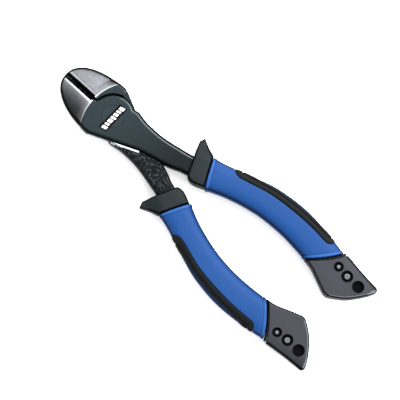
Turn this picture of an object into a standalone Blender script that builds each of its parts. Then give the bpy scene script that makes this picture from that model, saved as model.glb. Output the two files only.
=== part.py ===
"""Diagonal cutting pliers of the 200 mm class with moulded two-colour grips.

Two identical forged halves lap over each other and turn on one flush rivet. Each half carries a
grip of five pieces: thumb guard, hard core, soft sleeve, soft pad and end cap.

Sizes are in millimetres and become metres where a mesh is made. The frame has its origin on the
pivot axis at the joint's back face, +X along the handles, +Y towards the front half's handle and
+Z out of the joint's front face. The rear half is the front half turned over about X.
"""

import math

import bmesh
import bpy
import numpy as np
from mathutils import Vector

MM = 0.001
GAP = 0.3  # left between pieces that touch

# Joint
JOINT_THICKNESS = 12.0
MID_Z = JOINT_THICKNESS / 2
BOSS_RADIUS = 12.1
BOSS_END_ANGLE = math.radians(62)  # where the round boss meets the tang's outer corner
RIVET_RADIUS = 4.5
RIVET_HEAD_RADIUS = 6.0
RIVET_HEAD_DEPTH = 1.5

# Jaws
JAW_CENTRE_X = -5.0
JAW_LENGTH = 29.75  # from the centre to the tip
JAW_WIDTH = 15.7  # from the cutting line to the outer edge
JAW_POWER = 2.15  # superellipse power of the outer edge
CUTTING_GAP = 0.15  # from each cutting edge to the middle line
GROOVE_HALF_WIDTH = 1.85  # of the relief above the cutting edges, at the face
GROOVE_ROOT_HALF_WIDTH = 1.1  # of its narrow end at the boss
GROOVE_STEP_X = -14.3
JAW_SHOULDER = ((-13.8, -2.1), (-9.0, -13.8))  # where the ground jaw face begins
JAW_TIP_Z = 9.8
JAW_BACK = ((-3.2, -12.0), (-5.1, -16.0))  # back end of the full-thickness jaw

# Tang, in plan, from the joint to the thumb guard
HEAD_CORNER = (-3.7, -15.4)
CROSSING_EDGE = ((22.3, -3.7), (29.5, -1.7), (36.1, 0.0), (41.4, 1.7))
TANG_OUTER_EDGE = (
    (36.1, 12.2),
    (30.8, 11.1),
    (25.5, 10.3),
    (20.2, 10.1),
    (14.9, 10.2),
    (9.5, 11.1),
    (6.9, 11.7),
)
TANG_HALF_WIDTHS = ((44.0, 5.25), (48.0, 5.2), (52.0, 4.9), (58.0, 4.5), (126.0, 3.6))
TANG_START, TANG_END = 44.0, 126.0
TANG_TOP = ((8.0, 12.14), (47.0, 10.8), (58.0, 9.2))  # height of the front face along X
TANG_BOTTOM = ((8.0, 1.6), (49.0, 1.6), (58.0, 2.8))  # height of the back face along X
WEDGE_START_X = 8.3  # the tang has its full thickness from here on

# Grip: t is the X of a point on the centreline, w the distance to its side, + outwards
CENTRELINE = (
    (20.0, 2.5),
    (46.0, 9.1),
    (60.0, 13.8),
    (73.2, 18.6),
    (84.0, 21.9),
    (89.1, 23.2),
    (97.0, 24.4),
    (107.0, 25.05),
    (121.0, 24.2),
    (132.0, 22.6),
    (137.0, 21.5),
    (156.0, 16.0),
)
GRIP_HALF_WIDTHS = ((57.5, 8.4), (67.0, 8.0), (76.0, 8.15), (90.0, 8.8), (107.0, 9.3), (132.0, 9.25))
GRIP_HALF_HEIGHT = 7.5
GRIP_POWER = 3.2
BORE_HALF_WIDTH, BORE_HALF_HEIGHT = 6.0, 5.0
CORE_START, CORE_END = 58.3, 138.5
CORE_BORE_END = 128.0
TANG_BORE_HALF_HEIGHT = 3.5

# Pad let into the outer side of the sleeve: (t, width in plan from the outer edge)
PAD_WIDTHS = ((66.5, 0.6), (69.5, 3.2), (74.0, 4.3), (84.0, 4.6), (95.0, 5.1), (106.0, 5.3), (114.0, 5.0))
PAD_WIDTHS += ((122.0, 4.5), (127.5, 3.9), (130.0, 0.6))
PAD_START, PAD_END = 66.5, 130.0
ISLAND_START, ISLAND_END = 75.0, 124.5
ISLAND_HALF_HEIGHT = 2.6
PAD_PROUD = 0.3
PAD_DEPTH = 1.1

# Thumb guard, in plan, from its horn round the front to the inner side
GUARD_FRONT = (
    (51.2, 22.1),
    (48.8, 22.8),
    (45.9, 24.1),
    (43.3, 25.3),
    (42.3, 24.6),
    (41.9, 22.8),
    (44.6, 16.4),
    (46.7, 12.5),
    (48.8, 7.2),
    (50.1, 4.5),
    (51.2, 3.5),
    (54.1, 3.2),
    (57.3, 4.1),
)
GUARD_HALF_HEIGHT = 7.8
GUARD_HOLE_BOTTOM, GUARD_HOLE_TOP = 1.3, 11.2

# End cap, in plan, from the inner side round the end to the outer side
CAP_END = (
    (131.6, 13.2),
    (136.9, 11.1),
    (142.2, 9.0),
    (144.9, 8.0),
    (147.0, 8.2),
    (149.6, 9.8),
    (151.5, 11.1),
    (155.2, 14.0),
    (158.9, 18.3),
    (162.3, 23.1),
    (164.4, 26.8),
    (164.1, 28.8),
    (161.8, 29.4),
    (152.8, 30.0),
    (142.2, 31.3),
)
CAP_HALF_HEIGHT = 6.9
CAP_DIMPLES = ((141.3, 23.9, 2.5), (148.2, 23.2, 2.8), (156.1, 23.1, 3.4))  # x, y, radius
DIMPLE_DEPTH = 1.2

BEYOND = 60.0  # how far cutters reach past what they cut
SECTION_POINTS = 24
GRIP_RINGS = 16


def through(points, x):
    """Value at x of a smooth curve through the points, straight beyond its ends."""
    xs, ys = np.array(points).T
    slopes = np.gradient(ys, xs)
    if x <= xs[0]:
        return ys[0] + slopes[0] * (x - xs[0])
    if x >= xs[-1]:
        return ys[-1] + slopes[-1] * (x - xs[-1])
    i = int(np.searchsorted(xs, x, side="right")) - 1
    step = xs[i + 1] - xs[i]
    s = (x - xs[i]) / step
    return (
        (1 + 2 * s) * (1 - s) ** 2 * ys[i]
        + s * (1 - s) ** 2 * step * slopes[i]
        + s * s * (3 - 2 * s) * ys[i + 1]
        + s * s * (s - 1) * step * slopes[i + 1]
    )


def place(t, w):
    """Plan position of the point w to the side of the centreline at t."""
    nudge = 0.5
    rise = through(CENTRELINE, t + nudge) - through(CENTRELINE, t - nudge)
    length = math.hypot(2 * nudge, rise)
    return t - w * rise / length, through(CENTRELINE, t) + w * 2 * nudge / length


def rounded(value, power):
    """Cosine or sine of a superellipse, with its sign kept."""
    return math.copysign(abs(value) ** (2 / power), value)


def front_end(w):
    """t of the sleeve's front end at side distance w."""
    return 57.5 - 0.13 * w


def cap_seam(w):
    """t of the seam between the sleeve and the end cap at side distance w."""
    return 132.5 + 0.53 * w - 0.017 * w * w


def grip_half_width(t):
    """Half width of the sleeve at t."""
    return through(GRIP_HALF_WIDTHS, t)


def new_mesh(name, points, faces):
    """Closed mesh from points in millimetres, with its faces turned outwards."""
    mesh = bpy.data.meshes.new(name)
    mesh.from_pydata([Vector(point) * MM for point in points], [], faces)
    bm = bmesh.new()
    bm.from_mesh(mesh)
    bmesh.ops.recalc_face_normals(bm, faces=bm.faces)
    bm.to_mesh(mesh)
    bm.free()
    return mesh


def prism(name, outline, low, high, edge_radius=0.0):
    """Solid over a closed plan outline, with its top and bottom edges rounded by edge_radius."""
    count = len(outline)
    points = [(x, y, z) for z in (low, high) for x, y in outline]
    sides = [(i, (i + 1) % count, count + (i + 1) % count, count + i) for i in range(count)]
    lids = [tuple(range(count)), tuple(range(count, 2 * count))]
    mesh = new_mesh(name, points, sides + lids)
    if edge_radius:
        bm = bmesh.new()
        bm.from_mesh(mesh)
        rims = [edge for edge in bm.edges if edge.verts[0].co.z == edge.verts[1].co.z]
        bmesh.ops.bevel(
            bm, geom=rims, offset=edge_radius * MM, segments=2, profile=0.5, affect="EDGES", clamp_overlap=True
        )
        bm.to_mesh(mesh)
        bm.free()
    return mesh


def side_prism(name, profile, low_y, high_y):
    """Solid over a closed outline in the XZ plane, from low_y to high_y."""
    mesh = prism(name, profile, low_y, high_y)
    for vertex in mesh.vertices:
        x, z, y = vertex.co
        vertex.co = (x, y, z)
    mesh.flip_normals()
    return mesh


def lathe(name, profile, segments=40):
    """Solid turned about Z from (radius, z) points that start and end on the axis."""
    inner = profile[1:-1]
    points = [(0, 0, profile[0][1]), (0, 0, profile[-1][1])]
    for j in range(segments):
        angle = 2 * math.pi * j / segments
        points += [(r * math.cos(angle), r * math.sin(angle), z) for r, z in inner]
    faces = []
    rows = len(inner)
    for j in range(segments):
        here, after = 2 + j * rows, 2 + (j + 1) % segments * rows
        faces += [(here + i, after + i, after + i + 1, here + i + 1) for i in range(rows - 1)]
        faces += [(0, after, here), (1, here + rows - 1, after + rows - 1)]
    return new_mesh(name, points, faces)


def cylinder(name, centre, radius, low, high, segments=32):
    """Upright cylinder at a plan centre."""
    angles = [2 * math.pi * j / segments for j in range(segments)]
    outline = [(centre[0] + radius * math.cos(a), centre[1] + radius * math.sin(a)) for a in angles]
    return prism(name, outline, low, high)


def section_ring(start, end, share, half_width, half_height, power=GRIP_POWER):
    """One ring of a grip piece, a share of the way from its start to its end.

    start and end give t for a side distance, so that slanted and curved ends come out right.
    """
    ring = []
    for j in range(SECTION_POINTS):
        angle = 2 * math.pi * j / SECTION_POINTS
        across = rounded(math.cos(angle), power)
        middle = (1 - share) * start(0) + share * end(0)
        w = across * half_width(middle)
        t = (1 - share) * start(w) + share * end(w)
        w = across * half_width(t)
        ring.append((*place(t, w), MID_Z + half_height * rounded(math.sin(angle), power)))
    return ring


def grip_rings(start, end, count, half_width, half_height, power=GRIP_POWER):
    """Rings from the start to the end of a grip piece."""
    shares = np.linspace(0, 1, count)
    return [section_ring(start, end, share, half_width, half_height, power) for share in shares]


def ring_sides(rings, first):
    """Quads between rings whose points are numbered on from first."""
    n = SECTION_POINTS
    return [
        (first + i * n + j, first + i * n + (j + 1) % n, first + (i + 1) * n + (j + 1) % n, first + (i + 1) * n + j)
        for i in range(len(rings) - 1)
        for j in range(n)
    ]


def ring_lid(first):
    """Strips that close a ring, each straight from its top half to its bottom half."""
    n = SECTION_POINTS
    strips = [(first + j, first + j + 1, first + n - j - 1, first + n - j) for j in range(1, n // 2 - 1)]
    points = [(first, first + 1, first + n - 1), (first + n // 2 - 1, first + n // 2, first + n // 2 + 1)]
    return strips + points


def bar(name, rings):
    """Solid through rings."""
    points = [point for ring in rings for point in ring]
    last = len(points) - SECTION_POINTS
    return new_mesh(name, points, ring_sides(rings, 0) + ring_lid(0) + ring_lid(last))


def tube(name, outer, inner):
    """Open-ended tube between outer and inner rings."""
    points = [point for ring in outer + inner for point in ring]
    n = SECTION_POINTS
    inside = len(outer) * n
    last_out, last_in = inside - n, len(points) - n
    faces = ring_sides(outer, 0) + ring_sides(inner, inside)
    for out, into in ((0, inside), (last_out, last_in)):
        faces += [(out + j, out + (j + 1) % n, into + (j + 1) % n, into + j) for j in range(n)]
    return new_mesh(name, points, faces)


def carved(mesh, *cutters):
    """The mesh with each cutter mesh taken away."""
    blank = bpy.data.objects.new(mesh.name, mesh)
    bpy.context.collection.objects.link(blank)
    helpers = []
    for cutter in cutters:
        helper = bpy.data.objects.new(cutter.name, cutter)
        helper.hide_render = True
        helper.display_type = "WIRE"
        bpy.context.collection.objects.link(helper)
        modifier = blank.modifiers.new(cutter.name, "BOOLEAN")
        modifier.operation = "DIFFERENCE"
        modifier.solver = "EXACT"
        modifier.object = helper
        helpers.append(helper)
    graph = bpy.context.evaluated_depsgraph_get()
    result = bpy.data.meshes.new_from_object(blank.evaluated_get(graph))
    result.name = mesh.name
    for used in (blank, *helpers):
        bpy.data.objects.remove(used)
    return result


def tang_edges(clearance, start, end, count):
    """Inner and outer edge of the tang, or of a hole that clears it, along the centreline."""
    inner, outer = [], []
    for t in np.linspace(start, end, count):
        half_width = through(TANG_HALF_WIDTHS, t) + clearance
        inner.append(place(t, -half_width))
        outer.append(place(t, half_width))
    return inner, outer


def lever_outline():
    """Plan of one forged half: jaw, boss and tang."""
    start = math.asin((CUTTING_GAP / JAW_WIDTH) ** (JAW_POWER / 2))
    outline = []
    for angle in np.linspace(start, math.pi / 2, 16):
        across, along = math.sin(angle), math.cos(angle)
        x = JAW_CENTRE_X - JAW_LENGTH * rounded(along, JAW_POWER)
        outline.append((x, -JAW_WIDTH * rounded(across, JAW_POWER)))
    inner, outer = tang_edges(0, TANG_START, TANG_END, 14)
    outline += [HEAD_CORNER, *CROSSING_EDGE, *inner, *reversed(outer), *TANG_OUTER_EDGE]
    for angle in np.linspace(BOSS_END_ANGLE, math.pi, 16):
        outline.append((BOSS_RADIUS * math.cos(angle), BOSS_RADIUS * math.sin(angle)))
    outline.append((-BOSS_RADIUS, -CUTTING_GAP))
    return outline


def lap_pocket():
    """What the other half's lap needs behind this half's lap, through its whole travel."""
    top = MID_Z + GAP / 2
    slope = (CROSSING_EDGE[0][1] - HEAD_CORNER[1]) / (CROSSING_EDGE[0][0] - HEAD_CORNER[0])
    wedge_y = -HEAD_CORNER[1] - slope * (WEDGE_START_X - HEAD_CORNER[0])
    lift = GAP + 0.05
    edge = [(x, -y + lift) for x, y in reversed(CROSSING_EDGE[:3])]
    outline = [*JAW_BACK, (-5.1, -BEYOND), (CROSSING_EDGE[2][0], -BEYOND), *edge]
    outline += [(WEDGE_START_X, wedge_y + lift), (WEDGE_START_X, BEYOND), (JAW_BACK[0][0], BEYOND)]
    wide = prism("lap_pocket", outline, -BEYOND, top)
    round_part = cylinder("boss_pocket", (0, 0), BOSS_RADIUS + GAP, -BEYOND, top - 0.001, 64)
    return wide, round_part


def groove(name, half_width, start, end):
    """Relief over a cutting edge, open at both faces and narrowing to the edge in the middle."""
    reach = 1.2  # past the faces, so that the walls keep their slope
    wide = CUTTING_GAP + (half_width - CUTTING_GAP) * reach
    tall = MID_Z * reach
    section = [
        (wide, MID_Z + tall),
        (-wide, MID_Z + tall),
        (-CUTTING_GAP, MID_Z),
        (-wide, MID_Z - tall),
        (wide, MID_Z - tall),
        (CUTTING_GAP, MID_Z),
    ]
    mesh = prism(name, section, start, end)
    for vertex in mesh.vertices:
        y, z, x = vertex.co
        vertex.co = (x, y, z)
    return mesh


def jaw_facet(name, upwards):
    """Everything above the ground front face of the jaw, or below the back one."""
    (x0, y0), (x1, y1) = JAW_SHOULDER
    along = Vector((x1 - x0, y1 - y0)).normalized()
    towards_tip = Vector((along.y, -along.x))
    if towards_tip.x > 0:
        towards_tip.negate()
    reach = towards_tip.dot(Vector((JAW_CENTRE_X - JAW_LENGTH - x0, -y0)))
    drop = (JOINT_THICKNESS - JAW_TIP_Z) / reach
    points = []
    for distance, side in ((-5, -60), (-5, 60), (BEYOND, 60), (BEYOND, -60)):
        plan = Vector((x0, y0)) + along * side + towards_tip * distance
        points.append((plan.x, plan.y, MID_Z + upwards * (MID_Z - drop * distance)))
    points += [(x, y, MID_Z + upwards * BEYOND) for x, y, _ in points]
    sides = [(i, (i + 1) % 4, 4 + (i + 1) % 4, 4 + i) for i in range(4)]
    return new_mesh(name, points, sides + [(0, 1, 2, 3), (4, 5, 6, 7)])


def lever_mesh():
    """One forged half, as the front half: its lap is the outer layer of the joint."""
    blank = prism("lever", lever_outline(), 0, JOINT_THICKNESS)
    top = [*TANG_TOP, (BEYOND * 3, TANG_TOP[-1][1]), (BEYOND * 3, BEYOND), (TANG_TOP[0][0], BEYOND)]
    bottom = [*TANG_BOTTOM, (BEYOND * 3, TANG_BOTTOM[-1][1]), (BEYOND * 3, -BEYOND), (TANG_BOTTOM[0][0], -BEYOND)]
    hole = RIVET_RADIUS + GAP
    sink = RIVET_HEAD_RADIUS + GAP
    rivet_hole = [
        (0, -1.0),
        (hole, -1.0),
        (hole, JOINT_THICKNESS - RIVET_HEAD_DEPTH),
        (sink, JOINT_THICKNESS),
        (sink, JOINT_THICKNESS + 1.0),
        (0, JOINT_THICKNESS + 1.0),
    ]
    return carved(
        blank,
        side_prism("tang_top", top, -BEYOND, BEYOND),
        side_prism("tang_bottom", bottom, -BEYOND, BEYOND),
        *lap_pocket(),
        groove("wide_groove", GROOVE_HALF_WIDTH, -BEYOND, GROOVE_STEP_X),
        groove("narrow_groove", GROOVE_ROOT_HALF_WIDTH, GROOVE_STEP_X - 1, -BOSS_RADIUS),
        jaw_facet("front_facet", 1),
        jaw_facet("back_facet", -1),
        lathe("rivet_hole", rivet_hole),
    )


def rivet_mesh():
    """Rivet with a flush tapered head at each face."""
    top = JOINT_THICKNESS
    return lathe(
        "pivot_rivet",
        [
            (0, 0),
            (RIVET_HEAD_RADIUS, 0),
            (RIVET_RADIUS, RIVET_HEAD_DEPTH),
            (RIVET_RADIUS, top - RIVET_HEAD_DEPTH),
            (RIVET_HEAD_RADIUS, top),
            (0, top),
        ],
    )


def guard_mesh():
    """Collar with a thumb horn, bored for the tang."""
    back = [place(front_end(w) - GAP, w) for w in (-7.9, -4.0, 0.0, 4.0, 9.6)]
    body = prism(
        "thumb_guard", [*GUARD_FRONT, *back], MID_Z - GUARD_HALF_HEIGHT, MID_Z + GUARD_HALF_HEIGHT, 0.9
    )
    inner, outer = tang_edges(GAP, 36.0, 66.0, 12)
    hole = prism("guard_hole", [*inner, *reversed(outer)], GUARD_HOLE_BOTTOM, GUARD_HOLE_TOP)
    return carved(body, hole)


def core_mesh():
    """Hard liner of the grip, blind-bored for the tang."""
    half_width, half_height = BORE_HALF_WIDTH - GAP, BORE_HALF_HEIGHT - GAP
    rings = grip_rings(lambda w: CORE_START, lambda w: CORE_END, 14, lambda t: half_width, half_height)
    inner, outer = tang_edges(GAP, 40.0, CORE_BORE_END, 14)
    bore = prism(
        "core_bore", [*inner, *reversed(outer)], MID_Z - TANG_BORE_HALF_HEIGHT, MID_Z + TANG_BORE_HALF_HEIGHT
    )
    return carved(bar("grip_core", rings), bore)


def surface(t, angle, proud):
    """Point on the sleeve's skin at a section angle, moved out by proud."""
    w = (grip_half_width(t) + proud) * rounded(math.cos(angle), GRIP_POWER)
    z = (GRIP_HALF_HEIGHT + proud) * rounded(math.sin(angle), GRIP_POWER)
    return (*place(t, w), MID_Z + z)


def pad_angle(t, margin):
    """Section angle of the pad's edge at t, from its width in plan."""
    half_width = grip_half_width(t)
    share = 1 - (through(PAD_WIDTHS, t) + margin) / half_width
    return math.acos(share ** (GRIP_POWER / 2))


def island_angle(t, margin):
    """Section angle of the edge of the stripe inside the pad at t."""
    middle = (ISLAND_START + ISLAND_END) / 2
    reach = min(abs(t - middle) / (ISLAND_END - middle), 1.0)
    height = ISLAND_HALF_HEIGHT * (1 - reach**8) - margin
    return math.asin((max(height, 0.35) / GRIP_HALF_HEIGHT) ** (GRIP_POWER / 2))


def pad_mesh(name, margin, top, bottom):
    """Long ring that lies in the sleeve's skin, margin wider than the pad all round."""
    stations = 18
    bands = 5
    loops = []
    for band in range(bands + 1):
        share = band / bands
        start = (1 - share) * (ISLAND_START + margin) + share * (PAD_START - margin)
        end = (1 - share) * (ISLAND_END - margin) + share * (PAD_END + margin)
        edge = []
        for t in np.linspace(start, end, stations):
            inside = island_angle(np.clip(t, ISLAND_START, ISLAND_END), margin)
            outside = pad_angle(np.clip(t, PAD_START, PAD_END), margin)
            edge.append((t, (1 - share) * inside + share * outside))
        loops.append(edge + [(t, -angle) for t, angle in reversed(edge)])
    count = len(loops[0])
    points = [surface(t, angle, proud) for proud in (bottom, top) for loop in loops for t, angle in loop]
    skin = (bands + 1) * count
    faces = []
    for i in range(count):
        j = (i + 1) % count
        for band in range(bands):
            low, high = band * count, (band + 1) * count
            faces += [(low + i, low + j, high + j, high + i)]
            faces += [(skin + low + i, skin + low + j, skin + high + j, skin + high + i)]
        last = bands * count
        faces += [(i, j, skin + j, skin + i), (last + i, last + j, skin + last + j, skin + last + i)]
    return new_mesh(name, points, faces)


def sleeve_mesh():
    """Soft outer sleeve, bored for the core and let in for the pad."""
    outer = grip_rings(front_end, cap_seam, GRIP_RINGS, grip_half_width, GRIP_HALF_HEIGHT)
    inner = grip_rings(front_end, cap_seam, GRIP_RINGS, lambda t: BORE_HALF_WIDTH, BORE_HALF_HEIGHT)
    seat = pad_mesh("pad_seat", GAP, 3.0, -PAD_DEPTH - GAP)
    return carved(tube("grip_sleeve", outer, inner), seat)


def cap_mesh():
    """End cap with a socket for the core and three round dimples in each face."""
    front = [place(cap_seam(w) + GAP, w) for w in np.linspace(9.6, -9.2, 9)]
    body = prism("end_cap", [*front, *CAP_END], MID_Z - CAP_HALF_HEIGHT, MID_Z + CAP_HALF_HEIGHT, 0.8)
    socket = grip_rings(
        lambda w: CORE_END - 25, lambda w: CORE_END + GAP, 6, lambda t: BORE_HALF_WIDTH, BORE_HALF_HEIGHT
    )
    dimples = []
    for x, y, radius in CAP_DIMPLES:
        for side in (-1, 1):
            face = MID_Z + side * CAP_HALF_HEIGHT
            low, high = sorted((face - side * DIMPLE_DEPTH, face + side * 2))
            dimples.append(cylinder("dimple", (x, y), radius, low, high, 20))
    return carved(body, bar("cap_socket", socket), *dimples)


def finish(name, colour, roughness, metallic=0.0):
    """Material of one kind of piece."""
    material = bpy.data.materials.new(name)
    material.use_nodes = True
    shader = material.node_tree.nodes["Principled BSDF"]
    shader.inputs["Base Color"].default_value = (*colour, 1.0)
    shader.inputs["Roughness"].default_value = roughness
    shader.inputs["Metallic"].default_value = metallic
    return material


def half(name, turned):
    """Empty on the pivot axis that carries one half of the tool."""
    empty = bpy.data.objects.new(name, None)
    bpy.context.collection.objects.link(empty)
    if turned:
        empty.location = (0, 0, JOINT_THICKNESS * MM)
        empty.rotation_euler = (math.pi, 0, 0)
    return empty


def piece(name, mesh, carrier):
    """Named object on one half."""
    obj = bpy.data.objects.new(name, mesh)
    bpy.context.collection.objects.link(obj)
    obj.parent = carrier
    return obj


def dressed(mesh, material, smooth_angle=math.radians(32)):
    """The mesh with its material, and shaded smooth but for its sharp edges."""
    mesh.materials.clear()
    mesh.materials.append(material)
    mesh.shade_smooth()
    mesh.set_sharp_from_angle(angle=smooth_angle)
    return mesh


def main():
    """Clear the scene and build the pliers."""
    for obj in list(bpy.data.objects):
        bpy.data.objects.remove(obj)
    steel = finish("forged_steel", (0.075, 0.095, 0.105), 0.38, 1.0)
    meshes = {
        "lever": dressed(lever_mesh(), steel),
        "thumb_guard": dressed(guard_mesh(), finish("guard_plastic", (0.03, 0.032, 0.034), 0.6)),
        "grip_core": dressed(core_mesh(), finish("core_plastic", (0.03, 0.05, 0.12), 0.5)),
        "grip_sleeve": dressed(sleeve_mesh(), finish("sleeve_rubber", (0.04, 0.14, 0.48), 0.5)),
        "grip_pad": dressed(
            pad_mesh("grip_pad", 0.0, PAD_PROUD, -PAD_DEPTH), finish("pad_rubber", (0.03, 0.033, 0.036), 0.65)
        ),
        "end_cap": dressed(cap_mesh(), finish("cap_plastic", (0.09, 0.1, 0.115), 0.5)),
    }
    halves = {"front": half("front_half", False), "rear": half("rear_half", True)}
    for side, carrier in halves.items():
        for kind, mesh in meshes.items():
            piece(f"{side}_{kind}", mesh, carrier)
    rivet = dressed(rivet_mesh(), finish("rivet_steel", (0.11, 0.13, 0.14), 0.35, 1.0))
    piece("pivot_rivet", rivet, halves["front"])


main()
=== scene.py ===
"""Looks of a pair of diagonal cutting pliers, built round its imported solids.

Every shape is worked in millimetres in the front half's own place and becomes metres at the end.
The rear half uses the same shapes, turned half a turn about the long axis. The frame has its
origin on the pivot axis at the joint's back face, +X along the handles, +Y towards the front
half's handle and +Z out of the joint's front face.
"""
import logging
import math
from dataclasses import dataclass
from enum import Enum, IntEnum
from typing import Any, Callable, Iterable, Sequence

import bmesh
import bpy
import numpy as np
from mathutils import Matrix, Vector


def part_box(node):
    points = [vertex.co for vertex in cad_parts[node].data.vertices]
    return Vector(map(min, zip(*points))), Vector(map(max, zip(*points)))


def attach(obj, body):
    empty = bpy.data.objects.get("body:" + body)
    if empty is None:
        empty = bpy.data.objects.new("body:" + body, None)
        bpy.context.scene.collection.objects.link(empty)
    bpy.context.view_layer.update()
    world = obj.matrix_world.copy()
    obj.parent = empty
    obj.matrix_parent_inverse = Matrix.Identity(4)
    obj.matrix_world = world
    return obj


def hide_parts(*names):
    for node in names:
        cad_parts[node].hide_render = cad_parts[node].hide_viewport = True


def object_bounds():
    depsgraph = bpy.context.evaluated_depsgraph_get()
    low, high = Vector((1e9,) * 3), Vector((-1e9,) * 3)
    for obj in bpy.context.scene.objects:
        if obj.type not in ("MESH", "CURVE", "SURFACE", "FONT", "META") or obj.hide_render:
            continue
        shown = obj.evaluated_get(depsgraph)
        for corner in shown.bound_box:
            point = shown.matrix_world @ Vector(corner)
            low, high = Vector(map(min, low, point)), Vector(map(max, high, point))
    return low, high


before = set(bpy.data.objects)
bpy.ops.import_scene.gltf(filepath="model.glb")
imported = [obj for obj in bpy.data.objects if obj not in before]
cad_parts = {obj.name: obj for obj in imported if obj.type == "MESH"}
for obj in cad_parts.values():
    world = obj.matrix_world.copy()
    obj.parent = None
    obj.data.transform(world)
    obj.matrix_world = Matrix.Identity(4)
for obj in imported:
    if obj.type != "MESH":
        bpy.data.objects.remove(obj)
CAD_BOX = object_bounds()

LOG = logging.getLogger("pliers")
MM = 0.001
SAME_PLACE = 0.01

Plan = tuple[float, float]
Space = tuple[float, float, float]
Colour = tuple[float, float, float]

BLASTED: Colour = (0.0125, 0.0195, 0.0235)

def node_top(node: str) -> float:
    """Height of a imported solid's highest point, in millimetres."""
    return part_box(node)[1].z / MM


# ---------------------------------------------------------------------------------------------
# Curves


def through(points: Sequence[Plan], x: float) -> float:
    """Read a smooth curve through points at x.

    Args:
        points: Points of the curve, in order of x.
        x: Where to read it.

    Returns:
        The value at x, straight beyond the first and last point.
    """
    xs, ys = np.array(points, float).T
    slopes = np.gradient(ys, xs)
    if x <= xs[0]:
        return float(ys[0] + slopes[0] * (x - xs[0]))
    if x >= xs[-1]:
        return float(ys[-1] + slopes[-1] * (x - xs[-1]))
    i = int(np.searchsorted(xs, x, side="right")) - 1
    step = xs[i + 1] - xs[i]
    s = (x - xs[i]) / step
    return float(
        (1 + 2 * s) * (1 - s) ** 2 * ys[i]
        + s * (1 - s) ** 2 * step * slopes[i]
        + s * s * (3 - 2 * s) * ys[i + 1]
        + s * s * (s - 1) * step * slopes[i + 1]
    )


def smoothed(points: Sequence[Plan], steps: int = 6) -> list[Plan]:
    """Add points between given ones, on a curve that passes through them all.

    Args:
        points: Plan points of an open line.
        steps: Points for each span.

    Returns:
        The finer line, with the same two ends.
    """
    fixed = [Vector(p) for p in (points[0], *points, points[-1])]
    line: list[Plan] = []
    for before, start, end, after in zip(fixed, fixed[1:], fixed[2:], fixed[3:]):
        for k in range(steps):
            s = k / steps
            bend = (2 * before - 5 * start + 4 * end - after) * s * s
            twist = (3 * start - before - 3 * end + after) * s**3
            line.append(tuple((2 * start + (end - before) * s + bend + twist) / 2))
    line.append(tuple(fixed[-1]))
    return line


def on_levels(a: Vector, b: Vector, heights: Iterable[float]) -> bool:
    """Whether the edge between two points lies at one of the heights."""
    return any(abs(a.z - z) < SAME_PLACE and abs(b.z - z) < SAME_PLACE for z in heights)


def room_to_round(outline: Sequence[Plan], radius: float) -> list[Plan]:
    """Drop points so that no corner's rounding runs past its neighbour.

    Args:
        outline: Points of a closed plan outline, in order.
        radius: Width that each edge of the outline is going to be rounded by.

    Returns:
        The outline without the flatter point of each edge that is too short.
    """
    points = [Vector(p) for p in outline]
    spare_share, spare = 1.15, 0.05

    def reach(i: int) -> float:
        """Length that the rounding takes of the edges at a point.

        Args:
            i: Number of the point.

        Returns:
            The length on either side of the point.
        """
        into = points[i] - points[i - 1]
        out = points[(i + 1) % len(points)] - points[i]
        return radius * math.tan(abs(into.angle_signed(out, 0.0)) / 2)

    i = 0
    while i < len(points):
        after = (i + 1) % len(points)
        first, second = reach(i), reach(after)
        if (points[after] - points[i]).length < spare_share * (first + second) + spare:
            points.pop(after if second <= first else i)
            i = max(i - 2, 0)
        else:
            i += 1
    return [tuple(p) for p in points]


def superellipse(value: float, power: float) -> float:
    """Turn a cosine or sine into that of a superellipse, with its sign kept."""
    return math.copysign(abs(value) ** (2 / power), value)


def ease(value: float) -> float:
    """Ease from 0 to 1 as value goes from 0 to 1."""
    s = min(max(value, 0.0), 1.0)
    return s * s * (3 - 2 * s)


def round_end(value: float) -> float:
    """Half-width share of a round end, from 0 at its tip to 1 where it is full."""
    s = min(max(value, 0.0), 1.0)
    return math.sqrt(1 - (1 - s) ** 2)


# ---------------------------------------------------------------------------------------------
# Meshes


class Half(Enum):
    """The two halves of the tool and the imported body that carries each."""

    FRONT = "front_half"
    REAR = "rear_half"

    @property
    def word(self) -> str:
        """First word of the names of this half's pieces."""
        return self.value.split("_")[0]

    @property
    def place(self) -> Matrix:
        """Place of a shape that was made as the front half's.

        Returns:
            The place, in metres.
        """
        if self is Half.FRONT:
            return Matrix.Identity(4)
        turn = Matrix.Rotation(math.pi, 4, "X")
        return Matrix.Translation((0, 0, node_top("pivot_rivet") * MM)) @ turn


def in_scene(name: str, data: bpy.types.ID) -> bpy.types.Object:
    """Put a new object in the scene.

    Args:
        name: Name of the object.
        data: Its mesh, light or camera.

    Returns:
        The object.
    """
    obj = bpy.data.objects.new(name, data)
    bpy.context.scene.collection.objects.link(obj)
    return obj


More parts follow.
